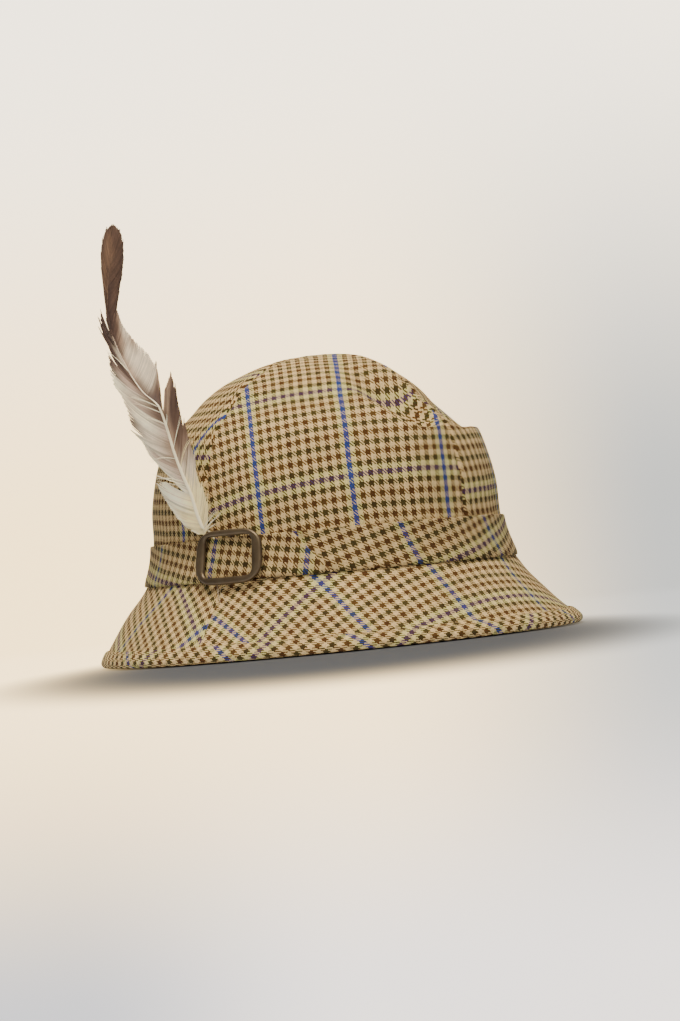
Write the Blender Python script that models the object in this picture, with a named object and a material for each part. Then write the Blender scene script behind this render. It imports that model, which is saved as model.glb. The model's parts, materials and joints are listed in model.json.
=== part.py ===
"""Trilby in checked tweed: gores, band, buckle, brim, binding and feather.

Metres, +Z up. The front of the hat faces -Y and the wearer's right is -X.
The origin is on the floor, under the middle of the brim.
Bearings are in degrees from the front, positive toward the wearer's right.
"""

import math
from typing import NamedTuple

import bmesh
import bpy
from mathutils import Vector

# Crown
CROWN_HALF_LENGTH = 0.1010
CROWN_HALF_WIDTH = 0.0843
CROWN_HEIGHT = 0.1135
CROWN_BACKWARD = 0.0035
APEX_FORWARD = 0.0057
HEM_HEIGHT = 0.0400
HEM_TILT = 0.0018
GORE_THICKNESS = 0.0020
SEAM_GAP = 0.0003
DENT_DEPTH = 0.0150
FOLD_BULGE = 0.0030
BULGE_START = 0.10
BULGE_FADE = 3
DENT_PEAK = 27.0 / 4.0
CROWN_STEP = 0.004
ROWS_UNDER_BAND = 4
ROWS_OF_WALL = 4
ROWS_OVER_FOLD = 10
FRONT_GORE_COLUMNS = 18
BACK_GORE_COLUMNS = 9

# Brim and its binding
EDGE_HALF_LENGTH = 0.1338
EDGE_HALF_WIDTH = 0.1158
BRIM_THICKNESS = 0.0025
BRIM_TUCK = 0.0009
BRIM_OUTSET = 0.0012
BRIM_EDGE_HEIGHT = 0.0030
BRIM_SEAM_BEARING = 83.0
BRIM_HALF_COLUMNS = 26
BRIM_ROWS = 5
BRIM_STEP = 0.02
BRIM_SWAY = 0.0042
SWAY_BEARING = 135.0
SWAY_EARLY = 1.3
SWAY_FOCUS = 3
EDGE_SHIFT = 0.0012
BINDING_CLEARANCE = 0.0005
BINDING_THICKNESS = 0.0009
BINDING_REACH = 0.0060
BINDING_FLAT = 0.0024
BINDING_COLUMNS = 60
SHOULDER_OUT = 0.50
SHOULDER_UP = 0.85
HEEL_IN = 0.60
HEEL_DOWN = 0.95

# Band
BAND_TOP_CLIMB = 0.10
BAND_HEIGHT = 0.0210
BAND_CLEARANCE = 0.0005
BAND_THICKNESS = 0.0015
BAND_PUFF = 0.0009
BAND_COARSE_STEP = 5.0
BAND_FINE_STEP = 1.25
STRAP_LIFT = 0.0017
STRAP_FLAT_HALF = 0.0135
STRAP_RAMP = 0.0055
STRAP_GATHER_BELOW = 0.0023
STRAP_GATHER_ABOVE = 0.0004

# Buckle
BUCKLE_BEARING = 79.6
BUCKLE_CENTRE = 0.0112
BUCKLE_LENGTH = 0.0392
BUCKLE_HEIGHT = 0.0268
BUCKLE_SIDE_BAR = 0.0055
BUCKLE_END_BAR = 0.0030
BUCKLE_STANDOFF = 0.0038
BUCKLE_THICKNESS = 0.0030
BUCKLE_CORNER = 0.0100
WINDOW_CORNER = 0.0034
CORNER_STEPS = 4
BAR_WIDTH = 0.0030
BAR_BACK = 0.0004
BAR_THICKNESS = 0.0012
POST_HEIGHT = 0.0015
POST_CLEARANCE = 0.0004
POST_WIDTH = 0.98
POST_BACK = 1.10
POST_SINK = 0.40

# Feather
FEATHER_HEIGHT = 0.1855
VANE_WIDTH = 0.0175
QUILL_THICKNESS = 0.0010
VANE_EDGE_THICKNESS = 0.0005
LOCKS = 26
LOCK_STEPS = 3
LOCK_NOTCH = 0.16

# Shared
MERGE_DISTANCE = 1e-6
SHARP_ANGLE = 40.0
QUARTER_TURN = 90.0
HALF_TURN = 180.0
FULL_TURN = 360.0


class DomeRow(NamedTuple):
    """One step up the undented crown, as shares of its plan and of its height."""

    reach: float
    rise: float


class DentRow(NamedTuple):
    """The pinch at one bearing: where it starts and ends up the crown, and its share of the depth."""

    bearing: float
    fold: float
    top: float
    depth: float
    bulge: float


class BrimRow(NamedTuple):
    """One step down the brim, as shares of its way out and of its drop."""

    out: float
    drop: float


class BandRow(NamedTuple):
    """One corner of the band's section, as shares of its height, thickness and puff."""

    up: float
    through: float
    puff: float


class FrameRow(NamedTuple):
    """One corner of the slide's frame, as shares of the way in to its window and of its thickness."""

    inward: float
    depth: float


class Look(NamedTuple):
    """The plain finish of a piece."""

    colour: tuple
    metallic: float
    roughness: float


class TuckRow(NamedTuple):
    """One station of the quill behind the band, as shares of the slide's length, the band's height and its lift."""

    across: float
    over_hem: float
    standoff: float


class VaneRow(NamedTuple):
    """One station up the feather.

    The quill is in shares of the crown's half width and half length and of the feather's height.
    The vane to each side is in shares of its widest, and it faces a bearing in degrees.
    """

    across: float
    back: float
    up: float
    facing: float
    left: float
    right: float


DOME = (
    DomeRow(1.040, 0.000),
    DomeRow(0.992, 0.185),
    DomeRow(0.985, 0.350),
    DomeRow(0.956, 0.480),
    DomeRow(0.908, 0.600),
    DomeRow(0.832, 0.692),
    DomeRow(0.728, 0.772),
    DomeRow(0.632, 0.848),
    DomeRow(0.485, 0.918),
    DomeRow(0.268, 0.978),
    DomeRow(0.000, 1.000),
)

DENTS = (
    DentRow(-180.0, 0.400, 0.90, 0.00, 0.00),
    DentRow(-100.0, 0.400, 0.92, 0.00, 0.00),
    DentRow(-68.0, 0.408, 0.94, 0.05, 0.10),
    DentRow(-50.0, 0.405, 0.95, 0.80, -0.40),
    DentRow(-36.0, 0.402, 0.96, 1.20, -0.40),
    DentRow(-20.0, 0.400, 0.95, 1.25, -0.10),
    DentRow(-8.0, 0.392, 0.93, 0.80, 0.00),
    DentRow(0.0, 0.395, 0.92, 0.22, 0.00),
    DentRow(6.0, 0.395, 0.80, 0.60, 0.30),
    DentRow(12.0, 0.400, 0.78, 0.92, 0.80),
    DentRow(18.0, 0.430, 0.79, 0.80, 0.80),
    DentRow(23.0, 0.490, 0.82, 0.52, 0.50),
    DentRow(28.0, 0.550, 0.85, 0.28, 0.20),
    DentRow(34.0, 0.600, 0.88, 0.10, 0.00),
    DentRow(44.0, 0.560, 0.88, 0.00, 0.00),
    DentRow(66.0, 0.400, 0.88, 0.00, 0.00),
    DentRow(180.0, 0.400, 0.90, 0.00, 0.00),
)

BRIM = (
    BrimRow(0.00, 0.00),
    BrimRow(0.17, 0.23),
    BrimRow(0.44, 0.50),
    BrimRow(0.72, 0.77),
    BrimRow(1.00, 1.00),
)

BAND = (
    BandRow(0.00, 0.0, 0.0),
    BandRow(0.50, 0.0, 0.0),
    BandRow(1.00, 0.0, 0.0),
    BandRow(1.00, 0.5, 0.0),
    BandRow(0.93, 1.0, 0.0),
    BandRow(0.50, 1.0, 0.0),
    BandRow(0.14, 1.0, 1.0),
    BandRow(-0.02, 1.0, 0.6),
)

FRAME = (
    FrameRow(0.00, 0.15),
    FrameRow(0.12, 0.75),
    FrameRow(0.45, 1.00),
    FrameRow(0.85, 0.80),
    FrameRow(1.00, 0.25),
    FrameRow(0.80, 0.00),
    FrameRow(0.20, 0.00),
)

TUCK = (
    TuckRow(0.205, 0.38, 0.59),
    TuckRow(0.280, 0.76, 0.59),
    TuckRow(0.332, 1.02, 0.64),
    TuckRow(0.353, 1.17, 1.00),
)

FEATHER = (
    VaneRow(1.039, 0.013, 0.148, -82.0, 0.40, 0.19),
    VaneRow(1.053, 0.028, 0.183, -80.0, 0.63, 0.43),
    VaneRow(1.071, 0.045, 0.243, -78.0, 0.85, 0.62),
    VaneRow(1.089, 0.059, 0.275, -76.0, 0.86, 0.58),
    VaneRow(1.094, 0.064, 0.288, -75.0, 0.56, 0.45),
    VaneRow(1.102, 0.084, 0.323, -74.0, 0.70, 0.64),
    VaneRow(1.109, 0.099, 0.356, -73.0, 0.81, 0.67),
    VaneRow(1.116, 0.119, 0.404, -72.0, 0.98, 0.67),
    VaneRow(1.129, 0.141, 0.437, -70.0, 0.91, 0.67),
    VaneRow(1.134, 0.155, 0.485, -68.0, 0.97, 0.64),
    VaneRow(1.136, 0.190, 0.509, -67.0, 1.00, 0.49),
    VaneRow(1.148, 0.262, 0.539, -66.0, 0.91, 0.69),
    VaneRow(1.151, 0.322, 0.577, -65.0, 0.71, 0.77),
    VaneRow(1.151, 0.356, 0.609, -64.0, 0.56, 0.81),
    VaneRow(1.151, 0.391, 0.647, -63.0, 0.37, 0.79),
    VaneRow(1.151, 0.436, 0.695, -62.0, 0.24, 0.53),
    VaneRow(1.151, 0.458, 0.728, -62.0, 0.27, 0.35),
    VaneRow(1.151, 0.464, 0.755, -61.0, 0.13, 0.21),
    VaneRow(1.151, 0.460, 0.787, -60.0, 0.10, 0.19),
    VaneRow(1.151, 0.439, 0.846, -60.0, 0.15, 0.35),
    VaneRow(1.151, 0.421, 0.873, -60.0, 0.22, 0.37),
    VaneRow(1.151, 0.394, 0.922, -60.0, 0.26, 0.30),
    VaneRow(1.151, 0.373, 0.976, -60.0, 0.18, 0.18),
    VaneRow(1.151, 0.371, 1.000, -60.0, 0.03, 0.03),
)

TWEED = Look((0.46, 0.36, 0.24), 0.0, 0.9)
BRONZE = Look((0.14, 0.11, 0.08), 1.0, 0.35)
PLUME = Look((0.70, 0.60, 0.48), 0.0, 0.8)


def smooth(share):
    """An S-shaped step from 0 to 1."""
    share = min(1.0, max(0.0, share))
    return share * share * (3.0 - 2.0 * share)


def centred(bearing):
    """A bearing brought to within half a turn of the front."""
    return (bearing + HALF_TURN) % FULL_TURN - HALF_TURN


def blend(rows, key, column, at):
    """The column's value at a key, on a curve through the rows that never overshoots them."""
    last = len(rows) - 1
    keys = [getattr(row, key) for row in rows]
    values = [getattr(row, column) for row in rows]
    chords = [(values[k + 1] - values[k]) / (keys[k + 1] - keys[k]) for k in range(last)]
    slopes = [chords[0]]
    for before, after in zip(chords, chords[1:]):
        rising = before * after > 0.0
        slopes.append(2.0 * before * after / (before + after) if rising else 0.0)
    slopes.append(chords[-1])
    k = max(i for i in range(last) if keys[i] <= at or i == 0)
    span = keys[k + 1] - keys[k]
    t = (at - keys[k]) / span
    start = (2.0 * t - 3.0) * t * t + 1.0
    end = 1.0 - start
    leave = ((t - 2.0) * t + 1.0) * t * span
    arrive = (t - 1.0) * t * t * span
    return values[k] * start + values[k + 1] * end + slopes[k] * leave + slopes[k + 1] * arrive


def dome(column, climb):
    """The undented crown's reach or rise, on a smooth curve through DOME. Past the hem it runs straight."""
    last = len(DOME) - 1
    values = [getattr(row, column) for row in DOME]
    k = min(last - 1, max(0, int(climb * last)))
    f = climb * last - k
    first = 2.0 * values[0] - values[1]
    mirrored = -values[last - 1] if column == "reach" else values[last - 1]
    p0 = values[k - 1] if k > 0 else first
    p1 = values[k]
    p2 = values[k + 1]
    p3 = values[k + 2] if k + 2 <= last else mirrored
    slope = 0.5 * (p2 - p0)
    if f < 0.0:
        return p1 + slope * f
    bend = p0 - 2.5 * p1 + 2.0 * p2 - 0.5 * p3
    turn = 1.5 * (p1 - p2) + 0.5 * (p3 - p0)
    return p1 + slope * f + bend * f * f + turn * f * f * f


def fold_climb(bearing):
    """How far up the crown the pinch's fold runs at a bearing."""
    return blend(DENTS, "bearing", "fold", bearing)


def plan_radius(bearing):
    """Distance from the crown's axis to the edge of its plan."""
    angle = math.radians(bearing)
    return math.hypot(CROWN_HALF_WIDTH * math.sin(angle), CROWN_HALF_LENGTH * math.cos(angle))


def crown_profile(bearing, climb):
    """(distance from the axis, height over the hem) of the pinched crown."""
    radius = plan_radius(bearing) * dome("reach", climb)
    height = CROWN_HEIGHT * dome("rise", climb)
    share = blend(DENTS, "bearing", "depth", bearing)
    fold = fold_climb(bearing)
    top = blend(DENTS, "bearing", "top", bearing)
    bulge = FOLD_BULGE * blend(DENTS, "bearing", "bulge", bearing)
    if climb <= fold:
        return radius + bulge * smooth((climb - BULGE_START) / (fold - BULGE_START)), height
    t = (climb - fold) / (top - fold)
    if t >= 1.0:
        return radius, height
    bump = DENT_PEAK * t * (1.0 - t) ** 2
    return radius + bulge * (1.0 - t) ** BULGE_FADE, height - DENT_DEPTH * share * bump


def crown_surface(bearing, climb, inset=0.0):
    """A point of the crown, inset from its outer face along the normal in its meridian plane."""
    bearing = centred(bearing)
    low = crown_profile(bearing, climb - CROWN_STEP)
    high = crown_profile(bearing, min(1.0, climb + CROWN_STEP))
    out, up = high[1] - low[1], low[0] - high[0]
    length = math.hypot(out, up)
    radius, height = crown_profile(bearing, climb)
    radius -= inset * out / length
    if climb >= 1.0:
        radius = 0.0
    angle = math.radians(bearing)
    stretch = radius / plan_radius(bearing)
    y = -CROWN_HALF_LENGTH * stretch * math.cos(angle)
    z = HEM_HEIGHT + height - inset * up / length + HEM_TILT * y / CROWN_HALF_LENGTH
    lean = APEX_FORWARD * (height / CROWN_HEIGHT) * abs(height / CROWN_HEIGHT)
    return Vector((-CROWN_HALF_WIDTH * stretch * math.sin(angle), y + CROWN_BACKWARD - lean, z))


def material_for(name, colour, metallic, roughness):
    """A Principled material of the object's own."""
    material = bpy.data.materials.new(name)
    material.use_nodes = True
    shader = material.node_tree.nodes["Principled BSDF"]
    shader.inputs["Base Color"].default_value = (*colour, 1.0)
    shader.inputs["Metallic"].default_value = metallic
    shader.inputs["Roughness"].default_value = roughness
    return material


def solid(name, points, faces, look):
    """A smooth-shaded mesh object with its faces turned outward."""
    mesh = bpy.data.meshes.new(name)
    mesh.from_pydata([tuple(point) for point in points], [], faces)
    shape = bmesh.new()
    shape.from_mesh(mesh)
    bmesh.ops.remove_doubles(shape, verts=shape.verts, dist=MERGE_DISTANCE)
    bmesh.ops.triangulate(shape, faces=shape.faces)
    bmesh.ops.recalc_face_normals(shape, faces=shape.faces)
    shape.to_mesh(mesh)
    shape.free()
    mesh.shade_smooth()
    mesh.set_sharp_from_angle(angle=math.radians(SHARP_ANGLE))
    mesh.materials.append(material_for(name, *look))
    obj = bpy.data.objects.new(name, mesh)
    bpy.context.scene.collection.objects.link(obj)
    return obj


def sheet(name, outer, inner, look):
    """A closed shell between two grids of points of the same size."""
    rows, columns = len(outer), len(outer[0])
    count = rows * columns
    points = [p for row in outer for p in row] + [p for row in inner for p in row]
    faces = []
    for r in range(rows - 1):
        for c in range(columns - 1):
            a = r * columns + c
            faces.append((a, a + 1, a + columns + 1, a + columns))
            faces.append((count + a, count + a + columns, count + a + columns + 1, count + a + 1))
    rim = list(range(columns))
    rim += [r * columns + columns - 1 for r in range(1, rows)]
    rim += [(rows - 1) * columns + c for c in range(columns - 2, -1, -1)]
    rim += [r * columns for r in range(rows - 2, 0, -1)]
    for a, b in zip(rim, rim[1:] + rim[:1]):
        faces.append((b, a, count + a, count + b))
    return solid(name, points, faces, look)


def ring(name, sections, look):
    """A closed ring through cross-sections with the same number of points."""
    size = len(sections[0])
    points = [p for section in sections for p in section]
    faces = []
    for s in range(len(sections)):
        after = (s + 1) % len(sections)
        for k in range(size):
            n = (k + 1) % size
            faces.append((s * size + k, s * size + n, after * size + n, after * size + k))
    return solid(name, points, faces, look)


def gore_climb(row, bearing):
    """The climb of a grid row, with one row along the fold."""
    fold = fold_climb(centred(bearing))
    if row <= ROWS_UNDER_BAND:
        return BAND_TOP_CLIMB * row / ROWS_UNDER_BAND
    row -= ROWS_UNDER_BAND
    if row <= ROWS_OF_WALL:
        return BAND_TOP_CLIMB + (fold - BAND_TOP_CLIMB) * row / ROWS_OF_WALL
    return fold + (1.0 - fold) * (row - ROWS_OF_WALL) / ROWS_OVER_FOLD


def gore(name, first_bearing, columns):
    """A quarter of the crown, moved off both its seams by half the gap."""
    middle = math.radians(first_bearing + 0.5 * QUARTER_TURN)
    shift = 0.5 * SEAM_GAP
    away = Vector((-math.copysign(shift, math.sin(middle)), -math.copysign(shift, math.cos(middle)), 0.0))
    grids = []
    for inset in (0.0, GORE_THICKNESS):
        grid = []
        for row in range(ROWS_UNDER_BAND + ROWS_OF_WALL + ROWS_OVER_FOLD + 1):
            bearings = [first_bearing + QUARTER_TURN * c / columns for c in range(columns + 1)]
            grid.append([crown_surface(b, gore_climb(row, b), inset) + away for b in bearings])
        grids.append(grid)
    return sheet(name, *grids, TWEED)


def brim_middle(bearing, share):
    """A point half-way through the brim's cloth, from the crown's hem out to the edge."""
    hem = crown_surface(bearing, 0.0, 0.5 * GORE_THICKNESS)
    angle = math.radians(bearing)
    toward = math.radians(SWAY_BEARING)
    edge = Vector((-EDGE_HALF_WIDTH * math.sin(angle), -EDGE_HALF_LENGTH * math.cos(angle), BRIM_EDGE_HEIGHT))
    edge -= EDGE_SHIFT * Vector((math.sin(toward), math.cos(toward), 0.0))
    place = share * (len(BRIM) - 1)
    k = min(len(BRIM) - 2, int(place))
    f = place - k
    out = BRIM[k].out + (BRIM[k + 1].out - BRIM[k].out) * f
    drop = BRIM[k].drop + (BRIM[k + 1].drop - BRIM[k].drop) * f
    top = hem.z - BRIM_TUCK
    hem += Vector((edge.x, edge.y, 0.0)).normalized() * BRIM_OUTSET
    facing = max(0.0, math.cos(angle - toward)) ** SWAY_FOCUS
    sway = BRIM_SWAY * facing * math.sin(math.pi * share**SWAY_EARLY)
    height = top + (edge.z - top) * drop + sway
    return Vector((hem.x + (edge.x - hem.x) * out, hem.y + (edge.y - hem.y) * out, height))


def brim_axes(bearing, share):
    """The brim's direction outward and its upward normal at a point."""
    far = brim_middle(bearing, min(1.0, share + BRIM_STEP))
    near = brim_middle(bearing, max(0.0, share - BRIM_STEP))
    outward = (far - near).normalized()
    angle = math.radians(bearing)
    around = Vector((-EDGE_HALF_WIDTH * math.cos(angle), EDGE_HALF_LENGTH * math.sin(angle), 0.0))
    upward = around.cross(outward).normalized()
    return outward, upward if upward.z > 0.0 else -upward


def brim_half(name, first_bearing, sweep, shift):
    """Half of the brim, moved along Y off its two seams by half the gap."""
    away = Vector((0.0, shift, 0.0))
    grids = [[], []]
    for row in range(BRIM_ROWS):
        share = row / (BRIM_ROWS - 1)
        upper, lower = [], []
        for column in range(BRIM_HALF_COLUMNS + 1):
            bearing = first_bearing + sweep * column / BRIM_HALF_COLUMNS
            point = brim_middle(bearing, share) + away
            half = 0.5 * BRIM_THICKNESS * brim_axes(bearing, share)[1]
            upper.append(point + half)
            lower.append(point - half)
        grids[0].append(upper)
        grids[1].append(lower)
    return sheet(name, *grids, TWEED)


def binding():
    """The tape over the brim's edge, with a flat ring underneath that the hat rests on."""
    inner = 0.5 * BRIM_THICKNESS + BINDING_CLEARANCE
    outer = inner + BINDING_THICKNESS
    sections = []
    for column in range(BINDING_COLUMNS):
        bearing = FULL_TURN * column / BINDING_COLUMNS
        edge = brim_middle(bearing, 1.0)
        along, up = brim_axes(bearing, 1.0)
        out = Vector((along.x, along.y, 0.0)).normalized()
        toe = edge - Vector((0.0, 0.0, edge.z)) + out * 0.5 * BINDING_THICKNESS
        sections.append(
            [
                edge - along * BINDING_REACH + up * inner,
                edge - along * BINDING_REACH + up * outer,
                edge + up * outer,
                edge + along * SHOULDER_OUT * inner + up * SHOULDER_UP * outer,
                toe + out * (0.5 * BINDING_FLAT + inner),
                toe + out * (inner - 0.5 * BINDING_FLAT),
                edge - along * HEEL_IN * inner - up * HEEL_DOWN * outer,
                edge - along * BINDING_REACH - up * outer,
                edge - along * BINDING_REACH - up * inner,
                edge + along * BINDING_CLEARANCE - up * inner,
                edge + along * BINDING_CLEARANCE + up * inner,
            ]
        )
    return ring("brim_binding", sections, TWEED)


def arc_from_buckle(bearing):
    """Distance round the crown from the buckle's centre."""
    return math.radians(bearing - BUCKLE_BEARING) * CROWN_HALF_LENGTH


def in_buckle(bearing):
    """1 where the band runs through the buckle, and 0 away from it."""
    return smooth((STRAP_FLAT_HALF + STRAP_RAMP - abs(arc_from_buckle(bearing))) / STRAP_RAMP)


def band_bearings():
    """Bearings round the band, close together where it runs through the buckle."""
    reach = math.degrees((STRAP_FLAT_HALF + STRAP_RAMP) / CROWN_HALF_LENGTH)
    fine = round(2.0 * reach / BAND_FINE_STEP)
    rest = FULL_TURN - 2.0 * reach
    coarse = round(rest / BAND_COARSE_STEP)
    start = BUCKLE_BEARING - reach
    near = [start + 2.0 * reach * k / fine for k in range(fine)]
    return near + [start + 2.0 * reach + rest * k / coarse for k in range(coarse)]


def band():
    """The strip round the crown with a fuller lower edge, gathered and lifted inside the buckle."""
    sections = []
    for bearing in band_bearings():
        share = in_buckle(bearing)
        back = BAND_CLEARANCE + STRAP_LIFT * share
        puff = BAND_PUFF * (1.0 - share)
        low = STRAP_GATHER_BELOW / BAND_HEIGHT * share
        high = 1.0 - STRAP_GATHER_ABOVE / BAND_HEIGHT * share
        section = []
        for row in BAND:
            climb = BAND_TOP_CLIMB * (low + (high - low) * row.up)
            standoff = back + BAND_THICKNESS * row.through + puff * row.puff
            section.append(crown_surface(bearing, climb, -standoff))
        sections.append(section)
    return ring("hat_band", sections, TWEED)


def on_crown(across, over_hem, standoff):
    """A point by its distance round from the buckle's centre, its height over the hem and its stand-off."""
    bearing = BUCKLE_BEARING + math.degrees(across / CROWN_HALF_LENGTH)
    return crown_surface(bearing, BAND_TOP_CLIMB * over_hem / BAND_HEIGHT, -standoff)


def rounded_rectangle(half_length, half_height, corner):
    """Points round a rectangle with round corners, the same count for every size."""
    points = []
    for quarter, (sx, sy) in enumerate(((1, 1), (-1, 1), (-1, -1), (1, -1))):
        for step in range(CORNER_STEPS + 1):
            angle = math.radians(QUARTER_TURN * (quarter + step / CORNER_STEPS))
            x = sx * (half_length - corner) + corner * math.cos(angle)
            y = sy * (half_height - corner) + corner * math.sin(angle)
            points.append((x, y))
    return points


def box_on_crown(name, across, low, high, back, front):
    """A small block in the crown's own coordinates, to join to the buckle."""
    corners = [(x, z, d) for x in (-across, across) for z in (low, high) for d in (back, front)]
    points = [on_crown(x, BUCKLE_CENTRE + z, d) for x, z, d in corners]
    faces = [(0, 1, 3, 2), (4, 6, 7, 5), (0, 4, 5, 1), (2, 3, 7, 6), (0, 2, 6, 4), (1, 5, 7, 3)]
    return solid(name, points, faces, BRONZE)


def join_to(obj, pieces):
    """Fuses pieces into an object and removes them."""
    for piece in pieces:
        union = obj.modifiers.new(piece.name, "BOOLEAN")
        union.operation = "UNION"
        union.solver = "EXACT"
        union.object = piece
    bpy.context.view_layer.update()
    graph = bpy.context.evaluated_depsgraph_get()
    fused = bpy.data.meshes.new_from_object(obj.evaluated_get(graph))
    obj.modifiers.clear()
    obj.data = fused
    for piece in pieces:
        bpy.data.objects.remove(piece, do_unlink=True)


def buckle():
    """The slide: a rounded frame bowed to the crown, and a centre bar behind the band."""
    half_length, half_height = 0.5 * BUCKLE_LENGTH, 0.5 * BUCKLE_HEIGHT
    outer = rounded_rectangle(half_length, half_height, BUCKLE_CORNER)
    window = rounded_rectangle(half_length - BUCKLE_SIDE_BAR, half_height - BUCKLE_END_BAR, WINDOW_CORNER)
    sections = []
    for (ox, oz), (wx, wz) in zip(outer, window):
        section = []
        for row in FRAME:
            x, z = ox + (wx - ox) * row.inward, oz + (wz - oz) * row.inward
            section.append(on_crown(x, BUCKLE_CENTRE + z, BUCKLE_STANDOFF + BUCKLE_THICKNESS * row.depth))
        sections.append(section)
    frame = ring("buckle", sections, BRONZE)
    top = BAND_HEIGHT - STRAP_GATHER_ABOVE + POST_CLEARANCE - BUCKLE_CENTRE
    bottom = STRAP_GATHER_BELOW - POST_CLEARANCE - BUCKLE_CENTRE
    half_bar = 0.5 * BAR_WIDTH
    half_post = POST_WIDTH * half_bar
    post = POST_WIDTH * POST_HEIGHT
    back = POST_BACK * BAR_BACK
    reach = BUCKLE_STANDOFF + POST_SINK * BUCKLE_THICKNESS
    bar = box_on_crown("bar", half_bar, bottom - POST_HEIGHT, top + POST_HEIGHT, BAR_BACK, BAR_BACK + BAR_THICKNESS)
    upper = box_on_crown("upper", half_post, top, top + post, back, reach)
    lower = box_on_crown("lower", half_post, bottom - post, bottom, back, reach)
    join_to(frame, [bar, upper, lower])
    return frame


def vane_width(side, height, lock):
    """The vane's width at a height, cut back where one lock of barbs ends and the next begins."""
    notch = 1.0 - LOCK_NOTCH * (1.0 - lock) ** 2
    return max(0.5 * QUILL_THICKNESS, VANE_WIDTH * blend(FEATHER, "up", side, height) * notch)


def section_at(centre, facing, left, right):
    """The feather's section at a point of its quill, with a vane this wide to each side."""
    angle = math.radians(facing)
    face = Vector((math.sin(angle), -math.cos(angle), 0.0))
    side = Vector((math.cos(angle), math.sin(angle), 0.0))
    edge = 0.5 * VANE_EDGE_THICKNESS * face
    core = 0.5 * QUILL_THICKNESS * face
    left_edge = centre - side * left
    right_edge = centre + side * right
    return [left_edge + edge, centre + core, right_edge + edge, right_edge - edge, centre - core, left_edge - edge]


def vane_sections():
    """Sections up the free part of the feather, a few to each lock."""
    first, last = FEATHER[0].up, FEATHER[-1].up
    count = LOCKS * LOCK_STEPS
    for step in range(count + 1):
        height = first + (last - first) * step / count
        phase = (step % LOCK_STEPS) / (LOCK_STEPS - 1)
        across, back, facing = [blend(FEATHER, "up", column, height) for column in ("across", "back", "facing")]
        centre = Vector(
            (-CROWN_HALF_WIDTH * across, CROWN_HALF_LENGTH * back, HEM_HEIGHT + FEATHER_HEIGHT * height)
        )
        left = vane_width("left", height, phase)
        right = vane_width("right", height, 1.0 - abs(2.0 * phase - 1.0))
        yield section_at(centre, facing, left, right)


def feather():
    """Quill and vane as one thin solid, thickest along the quill, its edges in locks."""
    half_quill = 0.5 * QUILL_THICKNESS
    lift = BAND_CLEARANCE + STRAP_LIFT
    sections = []
    for row in TUCK:
        centre = on_crown(BUCKLE_LENGTH * row.across, BAND_HEIGHT * row.over_hem, lift * row.standoff)
        sections.append(section_at(centre, FEATHER[0].facing, half_quill, half_quill))
    sections += vane_sections()
    size = len(sections[0])
    points = [p for section in sections for p in section]
    faces = [tuple(range(size)), tuple(len(points) - 1 - k for k in range(size))]
    for s in range(len(sections) - 1):
        for k in range(size):
            n = (k + 1) % size
            faces.append((s * size + k, s * size + n, (s + 1) * size + n, (s + 1) * size + k))
    return solid("feather", points, faces, PLUME)


def clear_scene():
    """Removes what Blender starts with."""
    for obj in list(bpy.data.objects):
        bpy.data.objects.remove(obj, do_unlink=True)


def main():
    """Builds the hat."""
    clear_scene()
    gore("crown_front_right", 0.0, FRONT_GORE_COLUMNS)
    gore("crown_back_right", QUARTER_TURN, BACK_GORE_COLUMNS)
    gore("crown_back_left", HALF_TURN, BACK_GORE_COLUMNS)
    gore("crown_front_left", -QUARTER_TURN, FRONT_GORE_COLUMNS)
    seam = BRIM_SEAM_BEARING
    brim_half("brim_front", -seam, 2.0 * seam, -0.5 * SEAM_GAP)
    brim_half("brim_back", seam, FULL_TURN - 2.0 * seam, 0.5 * SEAM_GAP)
    binding()
    band()
    buckle()
    feather()


if __name__ == "__main__":
    main()
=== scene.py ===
"""The trilby's finished pieces: gores, brim, binding and band of tweed, a bronze slide and a feather.

Metres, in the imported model's frame: the front faces -Y, the wearer's right is -X, the floor is z = 0.
Bearings are in degrees from the front, positive toward the wearer's right.
"""

import json
import logging
import random
from dataclasses import dataclass, field
from enum import Enum
from functools import lru_cache
from math import acos, asin, copysign, cos, degrees, dist, exp, hypot, pi, radians, sin, tau
from typing import Callable, NamedTuple, Sequence, TypeVar

import bmesh
import bpy
from mathutils import Matrix, Vector, noise

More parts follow.
